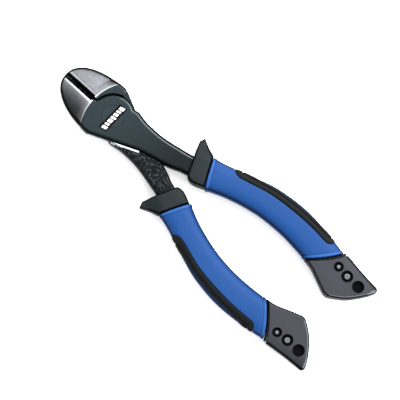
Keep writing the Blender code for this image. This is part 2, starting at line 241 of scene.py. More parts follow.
class Blank:
    """A closed mesh being worked on, in millimetres."""

    def __init__(self, name: str, points: Iterable[Space], faces: Iterable[Sequence[int]]) -> None:
        """Make the mesh and turn its faces outwards.

        Args:
            name: Name of the mesh.
            points: Its points.
            faces: Numbers of the points of each face.
        """
        self.mesh = bpy.data.meshes.new(name)
        self.mesh.from_pydata(list(points), [], list(faces))
        self.outwards()

    @classmethod
    def prism(cls, name: str, outline: Sequence[Plan], low: float, high: float) -> "Blank":
        """Make a solid over a closed plan outline.

        Args:
            name: Name of the mesh.
            outline: Plan points, in order.
            low: Height of its back face.
            high: Height of its front face.

        Returns:
            The solid.
        """
        n = len(outline)
        points = [(x, y, z) for z in (low, high) for x, y in outline]
        sides = [(i, (i + 1) % n, n + (i + 1) % n, n + i) for i in range(n)]
        return cls(name, points, [*sides, tuple(range(n)), tuple(range(n, 2 * n))])

    @classmethod
    def along_x(cls, name: str, section: Sequence[Plan], start: float, end: float) -> "Blank":
        """Make a solid over a closed outline in the YZ plane, from x start to x end."""
        return cls.prism(name, section, start, end).moved(lambda p: Vector((p.z, p.x, p.y))).outwards()

    @classmethod
    def turned(cls, name: str, profile: Sequence[Plan], centre: Plan = (0, 0), around: int = 96) -> "Blank":
        """Make a solid turned about an upright axis.

        Args:
            name: Name of the mesh.
            profile: (radius, height) points that start and end on the axis.
            centre: Plan place of the axis.
            around: Points in a full turn.

        Returns:
            The solid.
        """
        cx, cy = centre
        inner = profile[1:-1]
        points: list[Space] = [(cx, cy, profile[0][1]), (cx, cy, profile[-1][1])]
        for j in range(around):
            angle = 2 * math.pi * j / around
            points += [(cx + r * math.cos(angle), cy + r * math.sin(angle), z) for r, z in inner]
        faces: list[tuple[int, ...]] = []
        rows = len(inner)
        for j in range(around):
            here, after = 2 + j * rows, 2 + (j + 1) % around * rows
            faces += [(here + i, after + i, after + i + 1, here + i + 1) for i in range(rows - 1)]
            faces += [(0, after, here), (1, here + rows - 1, after + rows - 1)]
        return cls(name, points, faces)

    @classmethod
    def hoops(cls, name: str, rings: Sequence[Sequence[Space]]) -> "Blank":
        """Make a solid through rings that run out along its skin and back, as a tube's do.

        Args:
            name: Name of the mesh.
            rings: Rings of equally many points; the last joins the first again.

        Returns:
            The solid.
        """
        n = len(rings[0])
        count = len(rings)
        faces = [
            (i * n + j, i * n + (j + 1) % n, (i + 1) % count * n + (j + 1) % n, (i + 1) % count * n + j)
            for i in range(count)
            for j in range(n)
        ]
        return cls(name, [point for ring in rings for point in ring], faces)

    def edit(self, work: Callable[[bmesh.types.BMesh], Any]) -> "Blank":
        """Change the mesh with bmesh tools.

        Args:
            work: Does the change.

        Returns:
            This blank.
        """
        bm = bmesh.new()
        bm.from_mesh(self.mesh)
        work(bm)
        bm.to_mesh(self.mesh)
        bm.free()
        return self

    def outwards(self) -> "Blank":
        """Turn every face outwards."""
        return self.edit(lambda bm: bmesh.ops.recalc_face_normals(bm, faces=bm.faces))

    def moved(self, move: Callable[[Vector], Vector]) -> "Blank":
        """Move each point.

        Args:
            move: Gives the new place of a point.

        Returns:
            This blank.
        """
        for vertex in self.mesh.vertices:
            vertex.co = move(vertex.co.copy())
        return self

    def rounded(self, radius: float, segments: int, choose: Callable[[Vector, Vector], bool]) -> "Blank":
        """Round the edges whose two ends choose accepts.

        Args:
            radius: Width of the rounding on each side of the edge.
            segments: Faces across it.
            choose: Says whether the edge between two points is rounded.

        Returns:
            This blank.
        """

        def work(bm: bmesh.types.BMesh) -> None:
            """Round the accepted edges.

            Args:
                bm: The mesh being edited.
            """
            edges = [e for e in bm.edges if choose(e.verts[0].co, e.verts[1].co)]
            ways = {"profile": 0.5, "affect": "EDGES", "clamp_overlap": False}
            bmesh.ops.bevel(bm, geom=edges, offset=radius, segments=segments, **ways)

        return self.edit(work)

    def sliced(self, planes: Iterable[tuple[Plan, Plan]], inside: Callable[[Vector], bool]) -> "Blank":
        """Add edges where upright planes cross the faces whose points are all inside.

        Args:
            planes: Plan point and plan normal of each plane.
            inside: Says whether a point belongs to the stretch to cut.

        Returns:
            This blank.
        """

        def work(bm: bmesh.types.BMesh) -> None:
            """Cut along each plane.

            Args:
                bm: The mesh being edited.
            """
            for (x, y), (nx, ny) in planes:
                faces = [f for f in bm.faces if all(inside(v.co) for v in f.verts)]
                edges = {e for f in faces for e in f.edges}
                verts = {v for f in faces for v in f.verts}
                bmesh.ops.bisect_plane(
                    bm, geom=[*verts, *edges, *faces], dist=1e-4, plane_co=(x, y, 0), plane_no=(nx, ny, 0)
                )

        return self.edit(work)

    def without(self, *tools: "Blank") -> "Blank":
        """Cut other blanks out of this one, and use them up.

        Args:
            tools: The blanks to cut with.

        Returns:
            This blank.
        """
        holder = in_scene(self.mesh.name, self.mesh)
        helpers = []
        for tool in tools:
            helper = in_scene(tool.mesh.name, tool.mesh)
            modifier = holder.modifiers.new(tool.mesh.name, "BOOLEAN")
            modifier.operation = "DIFFERENCE"
            modifier.solver = "EXACT"
            modifier.object = helper
            helpers.append(helper)
        graph = bpy.context.evaluated_depsgraph_get()
        name = self.mesh.name
        self.mesh = bpy.data.meshes.new_from_object(holder.evaluated_get(graph))
        self.mesh.name = name
        for used in (holder, *helpers):
            bpy.data.objects.remove(used)
        return self.edit(self._cleaned)

    @staticmethod
    def _cleaned(bm: bmesh.types.BMesh) -> None:
        """Merge points that a cut left together, and points that only part one edge in two.

        Args:
            bm: The mesh being edited.
        """
        bmesh.ops.remove_doubles(bm, verts=bm.verts, dist=2e-3)
        spare: dict[bmesh.types.BMVert, bmesh.types.BMVert] = {}
        for vert in bm.verts:
            keep = vert.link_edges[0].other_vert(vert)
            if len(vert.link_edges) == 2 and keep not in spare:
                spare[vert] = keep
        bmesh.ops.weld_verts(bm, targetmap=spare)

    def finished(
        self,
        materials: Sequence[bpy.types.Material],
        pick: Callable[[Vector, Vector], int] | None = None,
        sharp: float = 35.0,
    ) -> bpy.types.Mesh:
        """Give the mesh its materials and shading, in metres.

        Args:
            materials: Materials in the order of their numbers.
            pick: Number of a face's material, from its centre and normal; all take the first without it.
            sharp: Edges that bend more than this many degrees stay sharp.

        Returns:
            The mesh.
        """
        self.mesh.materials.clear()
        for material in materials:
            self.mesh.materials.append(material)
        if pick:
            for face in self.mesh.polygons:
                face.material_index = pick(face.center, face.normal)
        self.mesh.transform(Matrix.Scale(MM, 4))
        self.mesh.shade_smooth()
        self.mesh.set_sharp_from_angle(angle=math.radians(sharp))
        return self.mesh


def show(
    name: str,
    mesh: bpy.types.Mesh,
    half: Half,
    node: str | None,
    weigh: bool = False,
) -> None:
    """Put a piece in its place on its half of the tool.

    Args:
        name: Name of the piece.
        mesh: Its mesh, as the front half's.
        half: The half that it belongs to.
        node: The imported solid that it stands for, if any.
        weigh: Whether large faces rule the shading of the small ones beside them.
    """
    obj = in_scene(name, mesh)
    obj.matrix_world = half.place
    if weigh:
        modifier = obj.modifiers.new("weighted_normals", "WEIGHTED_NORMAL")
        modifier.keep_sharp = True
        modifier.weight = 90
    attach(obj, half.value)
    if node:
        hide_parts(node)
    LOG.info("%s: %d faces, rides on %s", name, len(mesh.polygons), half.value)


# ---------------------------------------------------------------------------------------------
# Material nodes


class Wire:
    """An output socket that takes part in arithmetic: each operation adds a Math node."""

    def __init__(self, nodes: "Graph", socket: bpy.types.NodeSocket) -> None:
        """Keep the socket and the graph that it belongs to."""
        self.nodes = nodes
        self.socket = socket

    def _math(self, operation: str, *values: "Wire | float", clamp: bool = False) -> "Wire":
        """Add a Math node over the values."""
        settings = {"operation": operation, "use_clamp": clamp}
        return self.nodes.add("ShaderNodeMath", settings, dict(enumerate(values)))

    def __add__(self, other: "Wire | float") -> "Wire":
        """Sum with another value."""
        return self._math("ADD", self, other)

    __radd__ = __add__

    def __sub__(self, other: "Wire | float") -> "Wire":
        """Difference from another value."""
        return self._math("SUBTRACT", self, other)

    def __rsub__(self, other: float) -> "Wire":
        """Difference of a number from this."""
        return self._math("SUBTRACT", other, self)

    def __mul__(self, other: "Wire | float") -> "Wire":
        """Product with another value."""
        return self._math("MULTIPLY", self, other)

    __rmul__ = __mul__

    def __abs__(self) -> "Wire":
        """Size without its sign."""
        return self._math("ABSOLUTE", self)

    def above(self, low: float, high: float) -> "Wire":
        """Rise from 0 at low to 1 at high, and stay there."""
        return self._math("MULTIPLY", self - low, 1 / (high - low), clamp=True)


class Graph:
    """A node tree that wires are added to."""

    def __init__(self, tree: bpy.types.NodeTree) -> None:
        """Keep the tree."""
        self.tree = tree

    def add(
        self,
        kind: str,
        settings: dict[str, Any] | None = None,
        sockets: dict[str | int, Any] | None = None,
        out: str | int = 0,
    ) -> Wire:
        """Add one node.

        Args:
            kind: Type of the node.
            settings: Its settings.
            sockets: Values or wires of its inputs, by name or number.
            out: The output wanted.

        Returns:
            That output.
        """
        node = self.tree.nodes.new(kind)
        for key, value in (settings or {}).items():
            setattr(node, key, value)
        for key, value in (sockets or {}).items():
            self.feed(node.inputs[key], value)
        return Wire(self, node.outputs[out])

    def feed(self, socket: bpy.types.NodeSocket, value: Any) -> None:
        """Link a wire to a socket, or set a value on it.

        Args:
            socket: The input socket.
            value: The wire or the value.
        """
        if isinstance(value, Wire):
            self.tree.links.new(value.socket, socket)
        elif isinstance(value, tuple) and len(value) == 3 and socket.type == "RGBA":
            socket.default_value = (*value, 1.0)
        else:
            socket.default_value = value

    def blend(self, share: Wire, low: Colour | Wire, high: Colour | Wire) -> Wire:
        """Colour between low and high by share."""
        return self.add("ShaderNodeMix", {"data_type": "RGBA"}, {0: share, 6: low, 7: high}, 2)


class Nodes(Graph):
    """The node tree of one material."""

    def __init__(self, name: str, specular: float = 0.5, metallic: float = 0.0) -> None:
        """Make the material and set what is the same all over.

        Args:
            name: Name of the material.
            specular: Specular level of the shader.
            metallic: How metallic it is.
        """
        self.material = bpy.data.materials.new(name)
        self.material.use_nodes = True
        super().__init__(self.material.node_tree)
        self.shader = self.tree.nodes["Principled BSDF"]
        self.shader.inputs["Specular IOR Level"].default_value = specular
        self.shader.inputs["Metallic"].default_value = metallic

    def millimetres(self, stretch: Space = (1, 1, 1)) -> Wire:
        """Place on the piece, in millimetres.

        Args:
            stretch: What each axis is multiplied by.

        Returns:
            The place.
        """
        place = self.add("ShaderNodeTexCoord", out="Object")
        scale = tuple(s / MM for s in stretch)
        return self.add("ShaderNodeVectorMath", {"operation": "MULTIPLY"}, {0: place, 1: scale})

    def noise(
        self,
        per_mm: float,
        stretch: Space = (1, 1, 1),
        detail: float = 3.0,
        rough: float = 0.55,
    ) -> Wire:
        """Noise from 0 to 1, with per_mm lumps to the millimetre before stretching."""
        sockets = {"Scale": per_mm, "Detail": detail, "Roughness": rough}
        return self.add("ShaderNodeTexNoise", None, {"Vector": self.millimetres(stretch), **sockets})

    def cells(self, per_mm: float) -> Wire:
        """Distance to the nearest of scattered points, per_mm to the millimetre."""
        sockets = {"Vector": self.millimetres(), "Scale": per_mm}
        return self.add("ShaderNodeTexVoronoi", None, sockets, "Distance")

    def along(self, axis: str) -> Wire:
        """Place on the piece along one axis, in millimetres."""
        return self.add("ShaderNodeSeparateXYZ", None, {0: self.millimetres()}, axis)

    def faces_up(self, low: float, high: float) -> Wire:
        """Rise from 0 to 1 as the upright part of the normal goes from low to high."""
        normal = self.add("ShaderNodeTexCoord", out="Normal")
        return abs(self.add("ShaderNodeSeparateXYZ", None, {0: normal}, "Z")).above(low, high)

    def cover(
        self, share: Wire, colour: Colour, roughness: float, metallic: float, specular: float
    ) -> None:
        """Cover part of what is there with a plain skin.

        Args:
            share: Where the skin is, from 0 to 1.
            colour: Its colour.
            roughness: Its roughness.
            metallic: How metallic it is.
            specular: Its specular level.
        """
        skin = self.tree.nodes.new("ShaderNodeBsdfPrincipled")
        skin.inputs["Base Color"].default_value = (*colour, 1.0)
        skin.inputs["Roughness"].default_value = roughness
        skin.inputs["Metallic"].default_value = metallic
        skin.inputs["Specular IOR Level"].default_value = specular
        surface = self.tree.nodes["Material Output"].inputs["Surface"]
        below = Wire(self, surface.links[0].from_socket)
        mixed = self.add("ShaderNodeMixShader", None, {0: share, 1: below, 2: Wire(self, skin.outputs[0])})
        self.feed(surface, mixed)

    def paint_flank_shade(self, colour: Colour, low: float, high: float) -> None:
        """Paint shade on the rims: a dark dull skin that catches no highlight, and a share of it on the
        walls.

        Args:
            colour: Colour of the painted shade.
            low: Upright part of the normal where the skin is whole.
            high: Upright part of the normal where it ends.
        """
        # Painted shade: the flanks are darkened by the lean of their normal alone, where shade falls under
        # the studio lights.
        wall_shade_share = 0.3
        rims = 1.0 - self.faces_up(low, high)
        share = rims * (wall_shade_share + self.faces_up(0.12, 0.3) * (1 - wall_shade_share))
        self.cover(share, colour, roughness=0.95, metallic=0.0, specular=0.02)

    def bump(self, height: Wire, depth: float) -> None:
        """Feed the shader's normal from a height.

        Args:
            height: The height, from 0 to 1.
            depth: What it is worth, in millimetres.
        """
        sockets = {"Height": height, "Distance": depth * MM, "Strength": 1.0}
        bumped = self.add("ShaderNodeBump", None, sockets)
        self.feed(self.shader.inputs["Normal"], bumped)

    def set(self, **sockets: Wire) -> bpy.types.Material:
        """Link wires to the shader's sockets.

        Args:
            sockets: The wire for each socket, by its name in small letters.

        Returns:
            The material.
        """
        for socket, wire in sockets.items():
            self.feed(self.shader.inputs[socket.replace("_", " ").title()], wire)
        return self.material


# ---------------------------------------------------------------------------------------------
# Finishes


def scaled(colour: Colour, by: float) -> Colour:
    """The colour made lighter or darker."""
    return tuple(channel * by for channel in colour)


@dataclass(frozen=True)
class SatinSteel:
    """Dark blasted steel, darker towards the handles, with cloudy marks, hairline scratches and painted
    shade on its flanks.
    """

    name: str = "satin_steel"
    colour: Colour = BLASTED
    roughness: float = 0.42
    grain: float = 0.012
    fade: Plan = (4.0, 40.0)
    faded: float = 0.3

    def material(self) -> bpy.types.Material:
        """Make the material.

        Returns:
            The material.
        """
        nodes = Nodes(self.name, metallic=0.85)
        clouds = nodes.noise(0.12, detail=4)
        grain = nodes.noise(4.0, detail=2)
        hair = nodes.noise(0.9, (0.35, 6.0, 1.0), detail=1).above(0.66, 0.72)
        colour = nodes.blend(clouds, scaled(self.colour, 0.86), scaled(self.colour, 1.14))
        colour = nodes.blend(hair * 0.3, colour, scaled(self.colour, 2.2))
        colour = nodes.blend(nodes.along("X").above(*self.fade), colour, scaled(self.colour, self.faded))
        nodes.bump(grain - hair * 0.5, self.grain)
        # Painted shade: near-black rims and darkened walls.
        nodes.paint_flank_shade(scaled(self.colour, 0.05), 0.78, 0.87)
        return nodes.set(base_color=colour, roughness=self.roughness + clouds * 0.12 - hair * 0.08)


@dataclass(frozen=True)
class GroundSteel:
    """Bright steel with the fine lines of a grinding wheel, blasted behind its brink, and turned black at
    its rims by painted shade.

    The brink is a circle about a point of the long axis.
    """

    centre: float
    radius: float
    name: str = "ground_steel"
    colour: Colour = (0.165, 0.168, 0.185)
    behind: Colour = BLASTED
    roughness: float = 0.25
    lines: Space = (5.0, 0.5, 1.0)
    # Upright range over which the painted shade on the rims fades out.
    rim: Plan = (0.8, 0.97)

    def material(self) -> bpy.types.Material:
        """Make the material.

        Returns:
            The material.
        """
        nodes = Nodes(self.name, metallic=1.0)
        lines = nodes.noise(1.0, self.lines, detail=3)
        clouds = nodes.noise(0.6, detail=5, rough=0.65)
        tone = (lines * 0.4 + clouds * 0.6).above(0.3, 0.7)
        colour = nodes.blend(tone, scaled(self.colour, 0.7), scaled(self.colour, 1.3))
        middle = (self.centre, 0.0, 0.0)
        flat = nodes.millimetres((1.0, 1.0, 0.0))
        away = nodes.add("ShaderNodeVectorMath", {"operation": "DISTANCE"}, {0: flat, 1: middle}, "Value")
        past = away - self.radius
        brink = past.above(0.0, 0.15) - past.above(0.35, 0.9)
        colour = nodes.blend(brink * 0.8, colour, scaled(self.colour, 2.6))
        nodes.bump(lines, 0.006)
        behind = 1.0 - past.above(0.0, 0.12)
        nodes.cover(behind, self.behind, roughness=0.45, metallic=0.85, specular=0.5)
        # Painted shade: black on the rolled outer parts of the jaws.
        nodes.paint_flank_shade(scaled(self.colour, 0.02), *self.rim)
        return nodes.set(base_color=colour, roughness=self.roughness + lines * 0.1)


@dataclass(frozen=True)
class WornEdgeAndHighlight:
    """Bare steel along an edge that is ground or rubbed bright; given a darker colour it also serves as a
    painted highlight on the lit side of a rounded edge.
    """

    name: str = "worn_edge"
    colour: Colour = (0.4, 0.41, 0.42)

    def material(self) -> bpy.types.Material:
        """Make the material.

        Returns:
            The material.
        """
        nodes = Nodes(self.name, metallic=0.9)
        worn = nodes.noise(0.7, detail=3)
        colour = nodes.blend(worn, scaled(self.colour, 0.7), scaled(self.colour, 1.2))
        return nodes.set(base_color=colour, roughness=0.3 + worn * 0.2)


@dataclass(frozen=True)
class RoughForging:
    """Steel as it leaves the forging die: scale, pits and flow marks, with painted shade on its flanks."""

    name: str = "rough_forging"
    colour: Colour = (0.006, 0.0085, 0.0095)

    def material(self) -> bpy.types.Material:
        """Make the material.

        Returns:
            The material.
        """
        nodes = Nodes(self.name, specular=0.2, metallic=0.7)
        lumps = nodes.noise(0.75, detail=6, rough=0.65)
        pits = nodes.cells(1.1)
        rub = lumps.above(0.5, 0.65)
        colour = nodes.blend(rub, scaled(self.colour, 0.35), scaled(self.colour, 4.5))
        nodes.bump(lumps + pits * 0.35, 0.2)
        # Painted shade on the flanks.
        nodes.paint_flank_shade(scaled(self.colour, 0.2), 0.35, 0.8)
        return nodes.set(base_color=colour, roughness=0.55 - rub * 0.15)


@dataclass(frozen=True)
class RecessShade:
    """Near-black painted shade, dull and finely grained, for hollows: the relief above the cutting edges,
    and the cap's dimples and groove.
    """

    name: str = "groove_shade"
    colour: Colour = (0.002, 0.002, 0.003)

    def material(self) -> bpy.types.Material:
        """Make the material.

        Returns:
            The material.
        """
        nodes = Nodes(self.name, specular=0.03)
        grain = nodes.noise(3.0, (3.0, 1.0, 1.0))
        nodes.bump(grain, 0.02)
        colour = nodes.blend(grain, scaled(self.colour, 0.5), scaled(self.colour, 1.8))
        return nodes.set(base_color=colour, roughness=0.7 + grain * 0.15)


@dataclass(frozen=True)
class Moulding:
    """Spark-grained plastic or rubber, with faint flow marks, lighter rubbed spots and painted shade on its
    flanks.
    """

    name: str
    colour: Colour
    roughness: float
    grain_per_mm: float = 2.2
    grain_depth: float = 0.03
    variation: float = 0.12
    specular: float = 0.12
    # These two set the painted shade on the flanks: its share of the colour, and the upright range where it
    # fades out.
    flank_shade: float = 0.12
    rim: Plan = (0.3, 0.85)

    def material(self) -> bpy.types.Material:
        """Make the material.

        Returns:
            The material.
        """
        nodes = Nodes(self.name, specular=self.specular)
        grain = nodes.noise(self.grain_per_mm, detail=2)
        flow = nodes.noise(0.06, (1.0, 1.6, 1.0), detail=3)
        rub = nodes.noise(0.35, detail=5, rough=0.7).above(0.6, 0.8)
        darker, lighter = (scaled(self.colour, 1 + way * self.variation) for way in (-1, 1))
        colour = nodes.blend(flow, darker, lighter)
        colour = nodes.blend(rub * 0.2, colour, tuple(0.8 * c + 0.02 for c in scaled(self.colour, 1.5)))
        nodes.bump(grain, self.grain_depth)
        # Painted shade on the flanks.
        nodes.paint_flank_shade(scaled(self.colour, self.flank_shade), *self.rim)
        return nodes.set(base_color=colour, roughness=self.roughness + grain * 0.12 - rub * 0.05)


@dataclass(frozen=True)
class Ink:
    """Printed marking, a little faded where it has worn."""

    name: str = "white_ink"
    colour: Colour = (0.86, 0.87, 0.88)

    def material(self) -> bpy.types.Material:
        """Make the material.

        Returns:
            The material.
        """
        nodes = Nodes(self.name, specular=0.02)
        worn = nodes.noise(1.6, detail=4).above(0.62, 0.75)
        colour = nodes.blend(worn, self.colour, scaled(self.colour, 0.6))
        return nodes.set(base_color=colour, roughness=0.5 + worn * 0.2)


# ---------------------------------------------------------------------------------------------
# Joint: levers, rivet and marking


class Steel(IntEnum):
    """Finishes of a lever, in the order of its materials."""

    SATIN = 0
    GROUND = 1
    # Painted shade in the relief above the cutting edges.
    OXIDE = 2
    FORGED = 3
    BRIGHT = 4
    # Painted highlight along the lit rounded edge of the front face.
    RUBBED = 5


@dataclass
class Joint:
    """Two forged halves lapped over each other on a flush rivet, all in millimetres."""

    thickness: float
    boss_radius: float = 12.1
    boss_end: float = math.radians(62)
    fit: float = 0.08
    lap_clearance: float = 0.1
    jaw_centre: float = -5.0
    jaw_length: float = 29.75
    jaw_width: float = 15.7
    jaw_power: float = 2.15
    cutting_gap: float = 0.06
    edge_height: float = 0.6
    groove_half_width: float = 1.8
    groove_root_half_width: float = 1.1
    groove_step: float = -14.3
    land: float = 1.0
    land_depth: float = 0.2
    shoulder_centre: float = 13.9
    shoulder_radius: float = 27.5
    tip_drop: float = 1.8
    jaw_roll: float = 2.3
    jaw_roll_start: float = 0.3
    jaw_roll_fade: float = 4.0
    least_half: float = 2.0
    jaw_step: float = 0.8
    jaw_points: int = 60
    boss_points: int = 48
    split: float = -3.0
    jaw_back: tuple[Plan, Plan] = ((-3.2, -12.0), (-5.1, -16.0))
    head_corner: Plan = (-3.7, -15.4)
    crossing: tuple[Plan, ...] = ((22.3, -3.7), (29.5, -1.7), (36.1, 0.0), (41.4, 1.7))
    tang_outer: tuple[Plan, ...] = (
        (36.1, 12.2),
        (30.8, 11.1),
        (25.5, 10.3),
        (20.2, 10.1),
        (14.9, 10.2),
        (9.5, 11.1),
        (6.9, 11.7),
    )
    tang_half_widths: tuple[Plan, ...] = ((44.0, 5.25), (48.0, 5.2), (52.0, 4.9), (58.0, 4.5), (126.0, 3.6))
    tang_steps: tuple[float, ...] = (8, 11, 14, 18, 22, 26, 30, 34, 38, 42, 47, 50, 54, 58, 90)
    tang_points: int = 26
    tang_start: float = 44.0
    tang_end: float = 126.0
    tang_top: tuple[Plan, ...] = (
        (8.0, 12.0),
        (14.0, 11.95),
        (24.0, 11.6),
        (47.0, 10.8),
        (58.0, 9.3),
        (126.0, 9.0),
    )
    tang_bottom: tuple[Plan, ...] = ((8.0, 1.6), (30.0, 1.6), (47.0, 1.7), (58.0, 2.7), (126.0, 3.0))
    wedge_start: float = 8.3
    edge_radius: float = 2.0
    recess_chamfer: float = 0.35
    wedge_chamfer: float = 0.8
    wedge_depth: float = 0.1
    rivet_head: float = 6.0
    rivet_shank: float = 4.5
    rivet_cone: float = 1.5
    rivet_play: float = 0.04
    rivet_chamfer: float = 0.06
    dash_height: float = 2.3
    dash_taller: float = 0.35
    dash_slant: float = 0.75
    dash_widths: tuple[float, ...] = (1.7, 1.1, 1.9, 1.2, 1.6, 1.1, 1.8)
    dash_gap: float = 0.75
    dash_place: Plan = (0.6, -0.45)
    dash_top: float = 0.04
    strip_half_width: float = 2.3
    strip_margins: Plan = (0.9, 0.4)
    strip_top: float = 0.02
    print_bottom: float = 0.003

    @property
    def middle(self) -> float:
        """Height of the lap plane."""
        return self.thickness / 2

    def tang_sides(self, line: "GripLine") -> tuple[list[Plan], list[Plan]]:
        """Lay out the two sides of the tang along the grip.

        Args:
            line: The grip's centreline.

        Returns:
            Plan points of the inner side and of the outer side.
        """
        inner, outer = [], []
        for t in np.linspace(self.tang_start, self.tang_end, self.tang_points):
            half_width = through(self.tang_half_widths, t)
            inner.append(line.place(t, -half_width))
            outer.append(line.place(t, half_width))
        return inner, outer

    def outline(self, line: "GripLine") -> list[Plan]:
        """Plan of one forged half: jaw, crossing edge, tang and boss.

        Args:
            line: The grip's centreline.

        Returns:
            The closed outline.
        """
        start = math.asin((self.cutting_gap / self.jaw_width) ** (self.jaw_power / 2))
        jaw = []
        for angle in np.linspace(start, math.pi / 2, self.jaw_points):
            along = superellipse(math.cos(angle), self.jaw_power)
            across = superellipse(math.sin(angle), self.jaw_power)
            jaw.append((self.jaw_centre - self.jaw_length * along, -self.jaw_width * across))
        inner, outer = self.tang_sides(line)
        lower = smoothed([*self.crossing, *inner[:3]], 4)
        upper = smoothed([*reversed(outer[:3]), *self.tang_outer], 4)
        boss = [
            (self.boss_radius * math.cos(a), self.boss_radius * math.sin(a))
            for a in np.linspace(self.boss_end, math.pi, self.boss_points)
        ]
        return [
            *jaw,
            self.head_corner,
            *lower,
            *inner[3:],
            *reversed(outer[3:]),
            *upper,
            *boss,
            (-self.boss_radius, -self.cutting_gap),
        ]

    def past_shoulder(self, x: float, y: float) -> float:
        """Distance of a plan point past the jaw's round shoulder, towards the tip."""
        return math.hypot(x - self.shoulder_centre, y) - self.shoulder_radius

    def drop(self, x: float, y: float, front: bool) -> float:
        """How far the finished face lies below the blank's.

        Args:
            x: Plan place along the tool.
            y: Plan place across the tool.
            front: Whether it is the front face, not the back.

        Returns:
            The depth.
        """
        if x > self.tang_top[0][0]:
            return self.thickness - through(self.tang_top, x) if front else through(self.tang_bottom, x)
        if x > 0:
            return 0.0 if front else self.tang_bottom[0][1]
        past = self.past_shoulder(x, y)
        if past <= 0:
            return 0.0
        reach = self.past_shoulder(self.jaw_centre - self.jaw_length, 0)
        beside = abs(x - self.jaw_centre) / self.jaw_length if x < self.jaw_centre else 0
        out = (beside**self.jaw_power + (abs(y) / self.jaw_width) ** self.jaw_power) ** (1 / self.jaw_power)
        rolled = max(0.0, (out - self.jaw_roll_start) / (1 - self.jaw_roll_start)) ** 2
        roll = self.jaw_roll * rolled * min(1.0, past / self.jaw_roll_fade)
        return min(self.tip_drop * past / reach + roll, self.middle - self.least_half)

    def shaped(self, point: Vector) -> Vector:
        """Bring a point of the flat blank to the forged and ground shape, rounded rims and all.

        Args:
            point: A point of the blank.

        Returns:
            Its new place.
        """
        x, y, z = point
        half, band, low = self.middle, self.middle - self.edge_radius, self.edge_height
        least_flank = 0.1
        out = abs(z - half)
        drop = self.drop(x, y, z > half)
        rim = max(band - drop, low + least_flank)
        if out > band:
            out = rim + (out - band) * (half - drop - rim) / (half - band)
        elif out > low:
            out = low + (out - low) * (rim - low) / (band - low)
        return Vector((x, y, half + math.copysign(out, z - half)))

    def groove(self) -> list[Blank]:
        """Cut the relief above the cutting edges and its narrow end at the boss.

        Returns:
            The cutters.
        """
        edge_left, past_tip, overlap = 0.02, -60.0, 0.5
        half, gap = self.middle, self.cutting_gap - edge_left
        tall, over = half - self.land_depth, half + 1.5
        lip = self.groove_half_width + self.land * (over - tall) / self.land_depth
        wide = [(gap, 0.0), (gap, self.edge_height), (self.groove_half_width, tall), (lip, over)]
        root = self.groove_root_half_width
        narrow = [(gap, 0.0), (root, half), (root + 0.2, over)]
        made = []
        for name, side, start, end in (
            ("wide_groove", wide, past_tip, self.groove_step),
            ("narrow_groove", narrow, self.groove_step - overlap, -self.boss_radius),
        ):
            top = [(y, half + z) for y, z in side]
            right = [(y, half - z) for y, z in reversed(side[1:])] + top
            left = [(-y, z) for y, z in reversed(right)]
            made.append(Blank.along_x(name, right + left, start, end))
        return made

    def lap_pocket(self) -> list[Blank]:
        """Clear the room that the other half's lap needs behind this one through its whole travel.

        Returns:
            The cutters.
        """
        top = self.middle + self.fit / 2
        far, off_level = 60.0, 0.002
        wedge_y = self.wedge_line(self.wedge_start)
        lift = self.fit + self.lap_clearance
        edge = [(x, -y + lift) for x, y in reversed(self.crossing[:3])]
        back_x = self.jaw_back[1][0]
        plan = [*self.jaw_back, (back_x, -far), (self.crossing[2][0], -far), *edge]
        plan += [(self.wedge_start, wedge_y), (self.wedge_start, far), (self.jaw_back[0][0], far)]
        round_part = self.boss_radius + self.fit
        rim = round_part + self.recess_chamfer
        disc = [(0, -2), (rim, -2), (rim, 0), (round_part, self.recess_chamfer)]
        floor = top - off_level
        disc += [(round_part, floor), (0, floor)]
        return [Blank.prism("lap_pocket", plan, -far, top), Blank.turned("boss_pocket", disc, around=160)]

    def wedge_line(self, x: float) -> float:
        """Y of the tang's wedge edge, which lies along the other half's crossing edge."""
        (x0, y0), (x1, y1) = self.head_corner, self.crossing[0]
        return -y0 - (y1 - y0) / (x1 - x0) * (x - x0) + (self.fit + self.lap_clearance)

    def wedge_cutter(self) -> Blank:
        """Cut the ground chamfer along the tang's wedge edge, on its back face.

        Returns:
            The cutter.
        """
        size, low = self.wedge_chamfer, self.tang_bottom[0][1]
        start, end = self.wedge_start - 1.0, self.crossing[0][0] + 0.3
        a, b = Vector((start, self.wedge_line(start))), Vector((end, self.wedge_line(end)))
        along = (b - a).normalized()
        inward = Vector((-along.y, along.x))
        deep = self.wedge_depth
        section = [(-2 * size, low - 2 * deep), (3 * size, low - 2 * deep), (-2 * size, low + 3 * deep)]
        points = [(*(p + inward * w), z) for p in (a, b) for w, z in section]
        faces = [(0, 1, 2), (3, 4, 5), (0, 1, 4, 3), (1, 2, 5, 4), (2, 0, 3, 5)]
        return Blank("wedge_cutter", points, faces)

    def rivet_hole(self) -> Blank:
        """Cut the countersunk rivet hole.

        Returns:
            The cutter.
        """
        top = self.thickness
        head, shank = self.rivet_head + self.rivet_play, self.rivet_shank + self.rivet_play
        profile = [(0, -1), (shank, -1), (shank, top - self.rivet_cone), (head, top)]
        return Blank.turned("rivet_hole", [*profile, (head, top + 1), (0, top + 1)])

